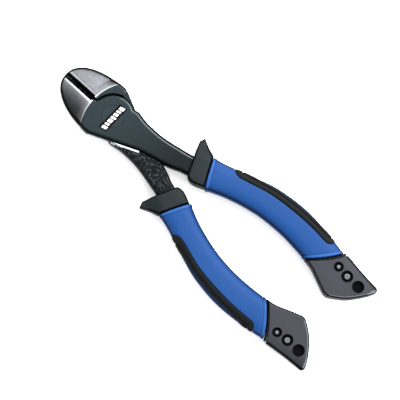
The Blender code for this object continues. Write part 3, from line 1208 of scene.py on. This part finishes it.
    def lever(self, line: "GripLine") -> Blank:
        """Forge, grind and bore one half.

        Args:
            line: The grip's centreline.

        Returns:
            The lever.
        """
        outline = room_to_round(self.outline(line), self.edge_radius)
        blank = Blank.prism("lever", outline, 0, self.thickness)
        blank.rounded(self.edge_radius, 5, self.is_rim).without(*self.groove())
        blank.sliced([((self.split, 0), (1, 0))], lambda p: True)
        on_jaw = self.split + SAME_PLACE
        across, along = np.arange(3.6, 15.6, self.jaw_step), np.arange(-33.5, -7.4, self.jaw_step)
        blank.sliced([((0, -y), (0, 1)) for y in across], lambda p: p.x < on_jaw)
        blank.sliced([((x, 0), (1, 0)) for x in along], lambda p: p.x < on_jaw)
        on_tang = self.split - SAME_PLACE
        blank.sliced([((x, 0), (1, 0)) for x in self.tang_steps], lambda p: p.x > on_tang)
        blank.moved(self.shaped)
        return blank.without(*self.lap_pocket(), self.rivet_hole(), self.wedge_cutter())

    def is_rim(self, a: Vector, b: Vector) -> bool:
        """Say which edges of the flat blank are rounded.

        The cutting edge and the boss beside the groove stay sharp.

        Args:
            a: One end of the edge.
            b: Its other end.

        Returns:
            Whether it is rounded.
        """
        cutting = all(abs(p.y + self.cutting_gap) < SAME_PLACE for p in (a, b))
        by_boss = all(abs(p.xy.length - self.boss_radius) < 0.05 and -0.2 < p.y < 1.6 for p in (a, b))
        return on_levels(a, b, (0, self.thickness)) and not cutting and not by_boss

    def lever_finish(self, centre: Vector, normal: Vector) -> Steel:
        """Choose the finish of a lever's face.

        Args:
            centre: Middle of the face.
            normal: Its normal.

        Returns:
            The finish.
        """
        x, y, z = centre
        upright = abs(normal.z)
        past = self.past_shoulder(x, y)
        # Painted shade on the walls of the relief above the cutting edges.
        if x < -self.boss_radius + 0.05 and y > -self.groove_half_width and upright < 0.8:
            return Steel.OXIDE
        if past > -1.0 and x < 0:
            on_land = y > -self.groove_half_width - self.land and past > 0
            return Steel.BRIGHT if on_land and upright > 0.85 else Steel.GROUND
        if abs(z - self.middle) < 0.2:
            return Steel.SATIN
        behind = z < self.middle and normal.z < -0.5
        beside = abs(y - self.wedge_line(x)) < 1.5 * self.wedge_chamfer
        if behind and beside and self.wedge_start - 1 < x < self.crossing[0][0] + 1:
            return Steel.BRIGHT if upright < 0.9985 else Steel.FORGED
        # Painted highlight: the facet of the rounded edge on the side that faces the light.
        if -4 < x < 47 and z > self.middle and normal.y > 0.05 and 0.93 < upright < 0.995:
            return Steel.RUBBED
        if x > self.wedge_start - 0.1 and normal.z < -0.2:
            return Steel.FORGED
        return Steel.SATIN

    def rivet(self) -> Blank:
        """Turn the rivet, flush at both ends, with a fine chamfer round each head.

        Returns:
            The rivet.
        """
        top, cone, chamfer = self.thickness, self.rivet_cone, self.rivet_chamfer
        face = self.rivet_head - chamfer - self.rivet_play
        head = self.rivet_head - self.rivet_play
        side = [(face, 0.0), (head, chamfer), (self.rivet_shank, cone)]
        side += [(self.rivet_shank, top - cone), (head, top - chamfer), (face, top)]
        rings = (1.5, 3.0, 4.5)
        low, high = [(r, 0.0) for r in rings], [(r, top) for r in reversed(rings)]
        return Blank.turned("pivot_rivet", [(0, 0), *low, *side, *high, (0, top)])

    def dashes(self) -> Blank:
        """Lay a row of slanted dashes on a black strip across the joint.

        Returns:
            The strip and the dashes, each a thin block.
        """
        half, slant, wide = self.dash_height / 2, self.dash_slant / 2, self.strip_half_width
        (far, near), (shift_x, shift_y) = self.strip_margins, self.dash_place
        y = -(sum(self.dash_widths) + self.dash_gap * (len(self.dash_widths) - 1)) / 2
        plans = [[(-wide, y - far), (wide, y - near), (wide, far - y), (-wide, near - y)]]
        for i, width in enumerate(self.dash_widths):
            low, high = -half, half + (0 if i % 3 else self.dash_taller)
            start, end = y, y + width
            plans.append([(low, start - slant), (low, end - slant)])
            plans[-1] += [(high, end + slant), (high, start + slant)]
            y = end + self.dash_gap
        points: list[Space] = []
        faces: list[tuple[int, ...]] = []
        for i, plan in enumerate(plans):
            n = len(points)
            for height in (self.print_bottom, self.dash_top if i else self.strip_top):
                points += [(x + shift_x, y + shift_y, self.thickness + height) for x, y in plan]
            faces += [(n + j, n + (j + 1) % 4, n + 4 + (j + 1) % 4, n + 4 + j) for j in range(4)]
            faces += [(n, n + 1, n + 2, n + 3), (n + 4, n + 5, n + 6, n + 7)]
        return Blank("dashes", points, faces)

    def build(self, line: "GripLine") -> None:
        """Make and place both levers, the rivet and the marking.

        Args:
            line: The grip's centreline.
        """
        finishes = {
            Steel.SATIN: SatinSteel(),
            Steel.GROUND: GroundSteel(self.shoulder_centre, self.shoulder_radius),
            Steel.OXIDE: RecessShade(),
            Steel.FORGED: RoughForging(),
            Steel.BRIGHT: WornEdgeAndHighlight(),
            # Painted highlight: a lighter steel on the lit side of the rounded edge.
            Steel.RUBBED: WornEdgeAndHighlight("edge_highlight", (0.045, 0.055, 0.056)),
        }
        steels = [finishes[steel].material() for steel in Steel]
        lever = self.lever(line).finished(steels, self.lever_finish, sharp=30)
        for half in Half:
            name, node = f"{half.word}_forged_lever", f"{half.word}_lever"
            show(name, lever, half, node, weigh=True)
        rivet_steel = SatinSteel("rivet_steel", (0.0135, 0.021, 0.025), 0.36, 0.008).material()
        rivet = self.rivet().finished([rivet_steel])
        show("flush_rivet", rivet, Half.FRONT, "pivot_rivet")
        inks = [Ink().material(), Ink("black_ink", (0.0012, 0.0013, 0.0016)).material()]
        strip_top = self.thickness + self.strip_top + 1e-4
        strip = self.dashes().finished(inks, lambda centre, _: int(centre.z < strip_top))
        show("printed_dashes", strip, Half.FRONT, None)


# ---------------------------------------------------------------------------------------------
# Grips


@dataclass
class GripLine:
    """Centreline of a grip and what is measured along it, in millimetres.

    t is the X of a point on the centreline and w the distance to its side, positive outwards.
    """

    centre: tuple[Plan, ...] = (
        (20.0, 2.5),
        (46.0, 9.1),
        (60.0, 13.8),
        (73.2, 18.6),
        (84.0, 21.9),
        (89.1, 23.2),
        (97.0, 24.4),
        (107.0, 25.05),
        (121.0, 24.2),
        (132.0, 22.6),
        (137.0, 21.5),
        (156.0, 16.0),
    )
    half_widths: tuple[Plan, ...] = (
        (55.0, 9.0),
        (58.0, 8.8),
        (62.0, 8.35),
        (68.0, 8.05),
        (76.0, 8.15),
        (90.0, 8.8),
        (107.0, 9.3),
        (132.0, 9.25),
    )
    half_height: float = 7.5
    power: float = 3.2
    middle: float = 6.0

    def place(self, t: float, w: float) -> Plan:
        """Find the point w to the side of the centreline at t.

        Args:
            t: X of a point on the centreline.
            w: Distance to its side.

        Returns:
            The plan point.
        """
        slope = self.slope(t)
        length = math.hypot(1, slope)
        return t - w * slope / length, through(self.centre, t) + w / length

    def locate(self, x: float, y: float) -> Plan:
        """Find about where a plan point lies along and beside the centreline.

        Args:
            x: Plan place along the tool.
            y: Plan place across the tool.

        Returns:
            Its t and w.
        """
        slope = self.slope(x)
        w = (y - through(self.centre, x)) / math.hypot(1, slope)
        return x + w * slope, w

    def slope(self, x: float) -> float:
        """Slope of the centreline over a millimetre about x."""
        return through(self.centre, x + 0.5) - through(self.centre, x - 0.5)

    def half_width(self, t: float) -> float:
        """Half width of the sleeve at t."""
        return through(self.half_widths, t)

    def front_end(self, w: float) -> float:
        """Where the sleeve starts, w to the side."""
        return 57.5 - 0.13 * w

    def seam(self, w: float) -> float:
        """Where the end cap starts, w to the side."""
        return 132.5 + 0.53 * w - 0.017 * w * w

    def skin(self, t: float, angle: float, proud: float = 0.0) -> Space:
        """Find a point of the sleeve's skin.

        Args:
            t: X of a point on the centreline.
            angle: Section angle, from the outer side.
            proud: Distance that the point is moved out.

        Returns:
            The point.
        """
        w = (self.half_width(t) + proud) * superellipse(math.cos(angle), self.power)
        z = (self.half_height + proud) * superellipse(math.sin(angle), self.power)
        return (*self.place(t, w), self.middle + z)


class Cap(IntEnum):
    """Finishes of an end cap, in the order of its materials."""

    PLAIN = 0
    # Painted shade in the dimples and the groove.
    DARK = 1
    # Lighter glossy grey: the buttons, their lightness partly a painted highlight, and a painted highlight
    # on the rounded rim by the end.
    BRIGHT = 2


class Sleeve(IntEnum):
    """Finishes of a sleeve, in the order of its materials."""

    PLAIN = 0
    # Painted highlight: lighter blue on the raised band at either end.
    LIP = 1


@dataclass
class Grip:
    """Thumb guard, sleeve, pad and end cap of one handle, all in millimetres."""

    line: GripLine
    section_points: int = 72
    skin_rings: int = 70
    bore_rings: int = 24
    pad_stations: int = 90
    bore: Plan = (6.05, 5.05)
    lip_height: float = 0.28
    lip_length: float = 1.5
    pad_widths: tuple[Plan, ...] = (
        (66.4, 3.0),
        (70.0, 3.7),
        (76.0, 4.3),
        (84.0, 4.6),
        (95.0, 5.1),
        (106.0, 5.3),
        (114.0, 5.0),
        (122.0, 4.6),
        (130.5, 4.2),
    )
    pad_ends: tuple[float, float] = (68.8, 129.4)
    pad_end_lengths: tuple[float, float] = (4.5, 3.2)
    stripe_ends: tuple[float, float] = (76.0, 124.0)
    stripe_half_height: float = 5.4
    stripe_taper: float = 14.0
    pad_depth: float = 1.0
    pad_fit: float = 0.2
    guard_front: tuple[Plan, ...] = (
        (51.0, 22.0),
        (48.8, 22.7),
        (45.9, 24.0),
        (44.0, 25.0),
        (43.1, 25.3),
        (42.3, 24.8),
        (41.9, 23.6),
        (42.2, 22.2),
        (44.6, 16.4),
        (46.7, 12.0),
        (48.8, 7.2),
        (50.0, 4.6),
        (51.2, 3.5),
        (54.1, 3.2),
        (57.0, 4.0),
    )
    guard_half_height: float = 7.8
    guard_radius: float = 1.8
    guard_gap: float = 0.12
    guard_middle: float = 52.0
    guard_bore: tuple[Plan, ...] = ((36.0, 5.4), (48.0, 5.3), (58.0, 4.7), (66.0, 4.6))
    cap_end: tuple[Plan, ...] = (
        (129.0, 13.9),
        (131.6, 13.2),
        (136.9, 11.1),
        (142.2, 9.0),
        (144.9, 8.1),
        (147.0, 8.3),
        (149.6, 9.8),
        (151.5, 11.1),
        (155.2, 14.0),
        (158.9, 18.3),
        (162.3, 23.1),
        (164.2, 26.6),
        (164.4, 28.2),
        (163.4, 29.3),
        (161.8, 29.4),
        (152.8, 30.0),
        (142.2, 31.3),
        (139.6, 31.45),
    )
    cap_half_height: float = 6.9
    cap_radius: float = 1.5
    cap_gap: float = 0.15
    cap_slices: tuple[float, ...] = (38, 40, 42, 44, 45.5, 46.5, 47.5, 48.5, 49.3)
    cap_groove: tuple[float, float] = (1.1, 1.75)
    cap_groove_depth: float = 0.7
    cap_groove_side_depth: float = 0.25
    dimples: tuple[Space, ...] = ((140.9, 23.6, 2.5), (147.6, 22.9, 2.8), (155.5, 22.8, 3.1))
    buttons: tuple[float, ...] = (0.42, 0.55)

    def ring(
        self,
        share: float,
        shift: float,
        half_width: Callable[[float], float],
        half_height: float,
    ) -> list[Space]:
        """One ring round the grip.

        Args:
            share: How far along the sleeve, from 0 at its front end to 1 at the seam.
            shift: Distance added along the centreline.
            half_width: Half width of the ring at a place on the centreline.
            half_height: Half height of the ring.

        Returns:
            Its points.
        """
        line = self.line
        points = []
        for j in range(self.section_points):
            angle = 2 * math.pi * j / self.section_points
            across = superellipse(math.cos(angle), line.power)
            middle = (1 - share) * line.front_end(0) + share * line.seam(0) + shift
            w = across * half_width(middle)
            t = (1 - share) * line.front_end(w) + share * line.seam(w) + shift
            w = across * half_width(t)
            z = half_height * superellipse(math.sin(angle), line.power)
            points.append((*line.place(t, w), line.middle + z))
        return points

    def sleeve(self) -> Blank:
        """Mould the sleeve: a raised lip at each end, a bore for the core and a seat for the pad.

        Returns:
            The sleeve.
        """
        # Each end's profile is (distance from the end, height over the skin).
        line = self.line
        lip, long = self.lip_height, self.lip_length
        end = [(0.1, -0.5), (0.14, -0.22), (0.26, 0.02), (0.46, lip * 0.8), (0.75, lip), (long, lip)]
        end += [(long + 0.25, lip * 0.55), (long + 0.45, -0.06), (long + 0.7, -0.06), (long + 1.1, 0.0)]
        outer = [(0.0, shift, proud) for shift, proud in end]
        outer += [(share, 0.0, 0.0) for share in np.linspace(0.06, 0.94, self.skin_rings)]
        outer += [(1.0, -shift, proud) for shift, proud in reversed(end)]
        rings = [
            self.ring(share, shift, lambda t, p=proud: line.half_width(t) + p, line.half_height + proud)
            for share, shift, proud in outer
        ]
        rings += [
            self.ring(share, -0.1 * (2 * share - 1), lambda t: self.bore[0], self.bore[1])
            for share in np.linspace(1, 0, self.bore_rings)
        ]
        return Blank.hoops("grip_sleeve", rings).without(self.pad("pad_seat", self.pad_fit))

    def pad_edge(self, t: float) -> float:
        """Find the pad's outer boundary.

        Args:
            t: X of a point on the centreline.

        Returns:
            The boundary's section angle.
        """
        (start, end), (rise, fall) = self.pad_ends, self.pad_end_lengths
        width = through(self.pad_widths, t) * round_end((t - start) / rise) * round_end((end - t) / fall)
        return math.acos(min(1.0, 1 - width / self.line.half_width(t)) ** (self.line.power / 2))

    def stripe_edge(self, t: float) -> float:
        """Find the edge of the stripe inside the pad.

        Args:
            t: X of a point on the centreline.

        Returns:
            The edge's section angle.
        """
        (start, end), taper = self.stripe_ends, self.stripe_taper
        height = self.stripe_half_height * round_end((t - start) / taper) * round_end((end - t) / taper)
        return math.asin((height / self.line.half_height) ** (self.line.power / 2))

    def pad(self, name: str, wider: float = 0.0) -> Blank:
        """Mould the long ring-shaped pad, or with wider the cutter for its seat.

        Args:
            name: Name of the mesh.
            wider: Distance by which a seat is wider than the pad all round.

        Returns:
            The solid.
        """
        stations, cutter_proud, seat_deeper = self.pad_stations, 2.5, 0.3
        turn = 1.5 * wider / self.line.half_height
        (stripe_start, stripe_end), (pad_start, pad_end) = self.stripe_ends, self.pad_ends
        # The profile is (share from the stripe to the outer boundary, height over the sleeve).
        top = [(0.0, -0.35), (0.015, -0.05), (0.05, 0.2), (0.1, 0.31), (0.2, 0.35)]
        top += [(0.31, 0.35), (0.4, 0.35), (0.44, -0.1), (0.53, -0.1), (0.57, 0.35), (0.68, 0.35)]
        top += [(0.8, 0.35), (0.9, 0.31), (0.95, 0.2), (0.985, -0.05), (1.0, -0.35)]
        low = -self.pad_depth - (seat_deeper if wider else 0.0)
        shares = [(share, low) for share in (1.0, 0.88, 0.76, 0.62, 0.48, 0.34, 0.17, 0.0)]
        profile = [(s, cutter_proud if wider else proud) for s, proud in top] + shares
        rings = []
        for share, proud in profile:
            start = (1 - share) * (stripe_start + wider) + share * (pad_start - wider)
            end = (1 - share) * (stripe_end - wider) + share * (pad_end + wider)
            upper = []
            for k in range(stations + 1):
                t = start + (end - start) * (1 - math.cos(math.pi * k / stations)) / 2
                s = (t - start) / (end - start)
                inner = self.stripe_edge(stripe_start + s * (stripe_end - stripe_start))
                outer = self.pad_edge(pad_start + s * (pad_end - pad_start))
                inner *= 1 - wider / self.stripe_half_height
                outer += turn * math.sin(math.pi * s) ** 0.3
                upper.append((t, (1 - share) * inner + share * outer))
            lower = [(t, -angle) for t, angle in reversed(upper[1:-1])]
            rings.append([self.line.skin(t, angle, proud) for t, angle in upper + lower])
        return Blank.hoops(name, rings)

    def guard(self) -> Blank:
        """Mould the thumb guard, thinner towards its horn and bored for the tang.

        Returns:
            The guard.
        """
        line, half = self.line, self.guard_half_height
        reach, middle = np.linspace(-7.9, 9.4, 12), self.guard_middle
        back = [line.place(line.front_end(w) - self.guard_gap, w) for w in reach]
        outline = room_to_round([*smoothed(self.guard_front, 5), *back], self.guard_radius)
        rims = (line.middle - half, line.middle + half)
        blank = Blank.prism("thumb_guard", outline, *rims)
        blank.rounded(self.guard_radius, 6, lambda a, b: on_levels(a, b, rims))
        x, y = line.place(middle, 0.0)
        across = Vector(line.place(middle, 1.0)) - Vector((x, y))
        steps = np.arange(-7, 13.5, 1.5)
        slices = [((x + across.x * w, y + across.y * w), tuple(across)) for w in steps]
        blank.sliced(slices, lambda p: True)

        def thinned(point: Vector) -> Vector:
            """Make the guard thinner towards its horn.

            Args:
                point: A point of the guard.

            Returns:
                Its new place.
            """
            w = (point.x - x) * across.x + (point.y - y) * across.y
            share = 1 - 0.4 * ease((w - 4.5) / 9.5) - 0.06 * ease((-w - 2) / 7)
            return Vector((point.x, point.y, line.middle + (point.z - line.middle) * share))

        blank.moved(thinned)
        inner, outer = [], []
        for t in np.linspace(36, 66, 16):
            half_width = through(self.guard_bore, t) + 0.1
            inner.append(line.place(t, -half_width))
            outer.append(line.place(t, half_width))
        return blank.without(Blank.prism("guard_hole", [*inner, *reversed(outer)], 1.45, 10.95))

    def cap(self) -> Blank:
        """Mould the end cap: rounded edges, a groove behind its front edge and round dimples.

        Returns:
            The cap.
        """
        line, half = self.line, self.cap_half_height
        front = [line.place(line.seam(w) + self.cap_gap, w) for w in np.linspace(9.6, -9.2, 18)]
        outline = room_to_round([*front, *smoothed(self.cap_end, 5)], self.cap_radius)
        rims = (line.middle - half, line.middle + half)
        blank = Blank.prism("end_cap", outline, *rims)
        blank.rounded(self.cap_radius, 6, lambda a, b: on_levels(a, b, rims))
        slices = [((x, 0), (1, 0)) for x in np.arange(128, 164, 3.0)]
        slices += [((0, y), (0.12, 1)) for y in self.cap_slices]
        blank.sliced(slices, lambda p: True).moved(self.crowned)
        return blank.without(self.seam_groove(), self.socket(), *self.dimple_cutters())

    def crowned(self, point: Vector) -> Vector:
        """Bring a point of the flat cap to its crowned shape.

        Args:
            point: A point of the flat cap.

        Returns:
            Its new place.
        """
        half, middle = self.cap_half_height, self.line.middle
        share = (half - self.cap_fall(point.x, point.y)) / half
        return Vector((point.x, point.y, middle + (point.z - middle) * share))

    def cap_fall(self, x: float, y: float) -> float:
        """How far the cap's crowned faces lie below its middle ones."""
        outer = y + 0.12 * x - 42.5
        return 2.6 * max(0.0, outer / 7) ** 2 + 0.5 * max(0.0, (x - 150) / 14) ** 2

    def seam_groove(self) -> Blank:
        """Cut the groove that runs all round behind the cap's front edge.

        Returns:
            The cutter.
        """
        (near, far), half = self.cap_groove, self.cap_half_height
        side_depth = self.cap_groove_side_depth
        inner, outer = -9.25 + side_depth, 9.35 - side_depth
        core = self.seam_strip("groove_core", near - 1, far + 1, inner, outer, half - self.cap_groove_depth)
        return self.seam_strip("seam_groove", near, far, -14, 14, half + 3).without(core)

    def seam_strip(
        self, name: str, start: float, end: float, inner: float, outer: float, tall: float
    ) -> Blank:
        """Make a block that follows the seam.

        Args:
            name: Name of the mesh.
            start: Distance of its front face behind the seam.
            end: Distance of its back face behind the seam.
            inner: Side distance of its inner end.
            outer: Side distance of its outer end.
            tall: Its half height.

        Returns:
            The block.
        """
        line = self.line
        there = [line.place(line.seam(w) + start, w) for w in np.linspace(inner, outer, 18)]
        back = [line.place(line.seam(w) + end, w) for w in np.linspace(outer, inner, 18)]
        return Blank.prism(name, there + back, line.middle - tall, line.middle + tall)

    def socket(self) -> Blank:
        """Cut the blind hole that takes the core.

        Returns:
            The cutter.
        """
        (start, end), wide, tall = (118, 139.2), 6.3, 5.2
        corners = ((start, -wide), (end, -wide), (end, wide), (start, wide))
        plan = [self.line.place(t, w) for t, w in corners]
        return Blank.prism("cap_socket", plan, self.line.middle - tall, self.line.middle + tall)

    def dimple_cutters(self) -> list[Blank]:
        """Cut the dimples of both faces: two rings round a raised button, and one plain.

        Returns:
            The cutters.
        """
        cutters = []
        for number, (x, y, radius) in enumerate(self.dimples):
            for side in (-1, 1):
                if number < len(self.buttons):
                    top = self.cap_half_height - 0.25 * number
                    pit = -0.75 if number else -0.25
                    button = radius * self.buttons[number]
                    bowl = [(0, pit), (button * 0.3, pit), (button * 0.45, -0.25)]
                    bowl += [(button * 0.8, -0.28), (button, -0.6), (button + 0.02, -1.6)]
                    bowl += [(radius - 0.15, -1.6), (radius, -0.7), (radius + 0.03, -0.15)]
                    bowl += [(radius + 0.4, 0.3)]
                else:
                    top = self.cap_half_height - 0.9
                    bowl = [(0, -1.5), (radius * 0.5, -1.4), (radius * 0.8, -1.0)]
                    bowl += [(radius, -0.2), (radius + 0.15, 0.4)]
                profile = [*bowl, (radius + 0.4, 4.0), (0, 4.0)]
                heights = [(r, self.line.middle + side * (top + z)) for r, z in profile]
                cutters.append(Blank.turned("dimple", heights, (x, y), 48))
        return cutters

    def cap_finish(self, centre: Vector, normal: Vector) -> Cap:
        """Choose the finish of a cap's face.

        Args:
            centre: Middle of the face.
            normal: Its normal.

        Returns:
            Painted shade in a dimple or the groove; a lighter glossy grey on a button, its lightness partly
            a painted highlight, and the same grey as a painted highlight on the rounded rim towards the
            end; plain elsewhere.
        """
        upright = abs(normal.z)
        depth = self.cap_half_height - abs(centre.z - self.line.middle) - self.cap_fall(centre.x, centre.y)
        for number, (x, y, radius) in enumerate(self.dimples):
            away = math.hypot(centre.x - x, centre.y - y)
            if away < radius + 0.02 and depth > 0.1:
                button = radius * (self.buttons[number] + 0.01) if number < len(self.buttons) else 0
                # Painted shade in the ring round a button; lighter glossy grey, partly a painted highlight,
                # on the button.
                return Cap.BRIGHT if away < button and upright > 0.3 else Cap.DARK
        t, w = self.line.locate(centre.x, centre.y)
        near, far = self.cap_groove
        if near - 0.1 < t - self.line.seam(w) < far + 0.1 and depth > 0.4:
            return Cap.DARK
        # Painted highlight on the rounded rim towards the end.
        return Cap.BRIGHT if 0.8 < upright < 0.97 and normal.x > 0.18 and centre.y < 29 else Cap.PLAIN

    def sleeve_finish(self, centre: Vector, _: Vector) -> Sleeve:
        """Choose the finish of a sleeve's face.

        Args:
            centre: Middle of the face.
            _: Its normal, which plays no part.

        Returns:
            Lip highlight, a lighter blue painted on the raised band at either end as its highlight; plain
            elsewhere.
        """
        line = self.line
        t, w = line.locate(centre.x, centre.y)
        front, back = self.lip_length, self.lip_length + 0.4
        return Sleeve.LIP if t - line.front_end(w) < front or line.seam(w) - t < back else Sleeve.PLAIN

    def build(self) -> None:
        """Make and place the pieces of both grips."""
        # The entries after variation set each moulding's painted shade on its flanks: its share of the
        # colour and the upright range where it fades.
        guard_skin = {"variation": 0.3, "flank_shade": 0.04, "rim": (0.72, 0.9)}
        black = Moulding("guard_moulding", (0.0085, 0.0125, 0.0145), 0.52, 2.4, 0.035, **guard_skin)
        cap_skin = {"variation": 0.25, "flank_shade": 0.04, "rim": (0.72, 0.93)}
        grey = Moulding("cap_moulding", (0.026, 0.029, 0.035), 0.45, 2.4, 0.03, **cap_skin)
        smooth = {"variation": 0.06, "flank_shade": 0.2, "rim": (0.4, 0.82)}
        blue = Moulding("blue_sleeve", (0.007, 0.045, 0.17), 0.45, 3.0, 0.018, **smooth)
        # Painted highlight: a lighter blue for the raised band at each end.
        lip = Moulding("sleeve_lip_highlight", (0.018, 0.075, 0.26), 0.4, 3.0, 0.018, **smooth)
        soft = Moulding("soft_pad", (0.0024, 0.003, 0.0034), 0.6, 1.6, 0.07, 0.2)
        # Painted shade for the cap's dimples and groove.
        dark = RecessShade("dimple_shade")
        # Lighter glossy grey for the buttons, its lightness partly a painted highlight; also the painted
        # highlight on the cap's end rim.
        button = Moulding("cap_button_and_highlight", (0.09, 0.095, 0.105), 0.25, specular=0.5, rim=(0.0, 0.1))
        liner = Moulding("core_moulding", (0.03, 0.05, 0.12), 0.5).material()
        sleeve_finishes = {Sleeve.PLAIN: blue, Sleeve.LIP: lip}
        cap_finishes = {Cap.PLAIN: grey, Cap.DARK: dark, Cap.BRIGHT: button}
        sleeves = [sleeve_finishes[finish].material() for finish in Sleeve]
        caps = [cap_finishes[finish].material() for finish in Cap]
        guard = self.guard().finished([black.material()])
        sleeve = self.sleeve().finished(sleeves, self.sleeve_finish)
        pad = self.pad("grip_pad").finished([soft.material()])
        cap = self.cap().finished(caps, self.cap_finish)
        for half in Half:
            word = half.word
            show(f"{word}_guard", guard, half, f"{word}_thumb_guard", weigh=True)
            show(f"{word}_sleeve", sleeve, half, f"{word}_grip_sleeve")
            show(f"{word}_pad", pad, half, f"{word}_grip_pad")
            show(f"{word}_cap", cap, half, f"{word}_end_cap", weigh=True)
            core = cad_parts[f"{word}_grip_core"]
            core.data.materials.clear()
            core.data.materials.append(liner)


# ---------------------------------------------------------------------------------------------
# Studio


@dataclass(frozen=True)
class Lamp:
    """A square soft light, in metres and watts."""

    name: str
    place: Space
    size: float
    watts: float

    def hang(self, aim: Space) -> None:
        """Hang the light so that it looks at the tool.

        Args:
            aim: Place that it looks at.
        """
        light = bpy.data.lights.new(self.name, "AREA")
        light.size = self.size
        light.energy = self.watts
        obj = in_scene(self.name, light)
        obj.location = self.place
        direction = Vector(aim) - Vector(self.place)
        obj.rotation_euler = direction.to_track_quat("-Z", "Y").to_euler()


@dataclass
class Studio:
    """Pale floor, soft lights and the camera, in metres."""

    floor_height: float
    floor_gap: float = 0.0002
    floor_glow: float = 0.4
    floor_reach: float = 3.0
    aim: Space = (0.0636, -0.0003, 0.008)
    azimuth: float = math.radians(43.4)
    elevation: float = math.radians(83)
    distance: float = 1.1715
    lens: float = 200.0
    lamps: tuple[Lamp, ...] = (
        Lamp("key", (0.1, 0.6, 0.8), 0.4, 7.0),
        Lamp("top", (-0.05, 0.5, 1.05), 0.8, 6.0),
    )
    tent_light: float = 2.35
    opening: Space = (-0.25, -0.62, 0.744)
    opening_edge: Plan = (0.71, 0.86)
    room: Colour = (0.02, 0.02, 0.02)

    def floor(self) -> None:
        """Lay a plain pale floor just under the tool."""
        nodes = Nodes("pale_floor", specular=0.05)
        grain = nodes.noise(0.02)
        paper = nodes.blend(grain, (0.93, 0.93, 0.93), (0.95, 0.95, 0.95))
        nodes.shader.inputs["Emission Color"].default_value = (1.0, 1.0, 1.0, 1.0)
        nodes.shader.inputs["Emission Strength"].default_value = self.floor_glow
        material = nodes.set(base_color=paper, roughness=grain * 0.05 + 0.9)
        reach, z = self.floor_reach, self.floor_height - self.floor_gap
        corners = [(-reach, -reach, z), (reach, -reach, z), (reach, reach, z), (-reach, reach, z)]
        mesh = bpy.data.meshes.new("floor")
        mesh.from_pydata(corners, [], [(0, 1, 2, 3)])
        mesh.materials.append(material)
        in_scene("floor", mesh)

    def camera(self) -> None:
        """Set the camera at the viewing angle."""
        data = bpy.data.cameras.new("camera")
        data.lens = self.lens
        data.clip_start, data.clip_end = 0.05, 20
        obj = in_scene("camera", data)
        a, e = self.azimuth, self.elevation
        back = Vector((math.sin(a) * math.cos(e), -math.cos(a) * math.cos(e), math.sin(e)))
        obj.location = Vector(self.aim) + back * self.distance
        obj.rotation_mode = "QUATERNION"
        obj.rotation_quaternion = (-back).to_track_quat("-Z", "Y")
        bpy.context.scene.camera = obj

    def build(self) -> None:
        """Set everything up."""
        self.floor()
        for lamp in self.lamps:
            lamp.hang(self.aim)
        self.surroundings()
        bpy.context.scene.view_settings.view_transform = "Standard"
        self.camera()

    def surroundings(self) -> None:
        """Surround the tool with a white tent whose round opening, high on -Y, shows a dark room."""
        world = bpy.data.worlds.new("studio")
        bpy.context.scene.world = world
        world.use_nodes = True
        graph = Graph(world.node_tree)
        way = graph.add("ShaderNodeTexCoord", out="Generated")
        dot = {"operation": "DOT_PRODUCT"}
        lean = graph.add("ShaderNodeVectorMath", dot, {0: way, 1: self.opening}, "Value")
        seen = graph.blend(lean.above(*self.opening_edge), (1.0, 1.0, 1.0), self.room)
        background = world.node_tree.nodes["Background"]
        graph.feed(background.inputs["Color"], seen)
        background.inputs["Strength"].default_value = self.tent_light


def main() -> None:
    """Build the tool and its studio."""
    logging.basicConfig(level=logging.INFO, format="%(name)s: %(message)s")
    line = GripLine(middle=node_top("pivot_rivet") / 2)
    Joint(thickness=node_top("pivot_rivet")).build(line)
    Grip(line).build()
    Studio(floor_height=CAD_BOX[0].z).build()


if __name__ == "__main__":
    main()
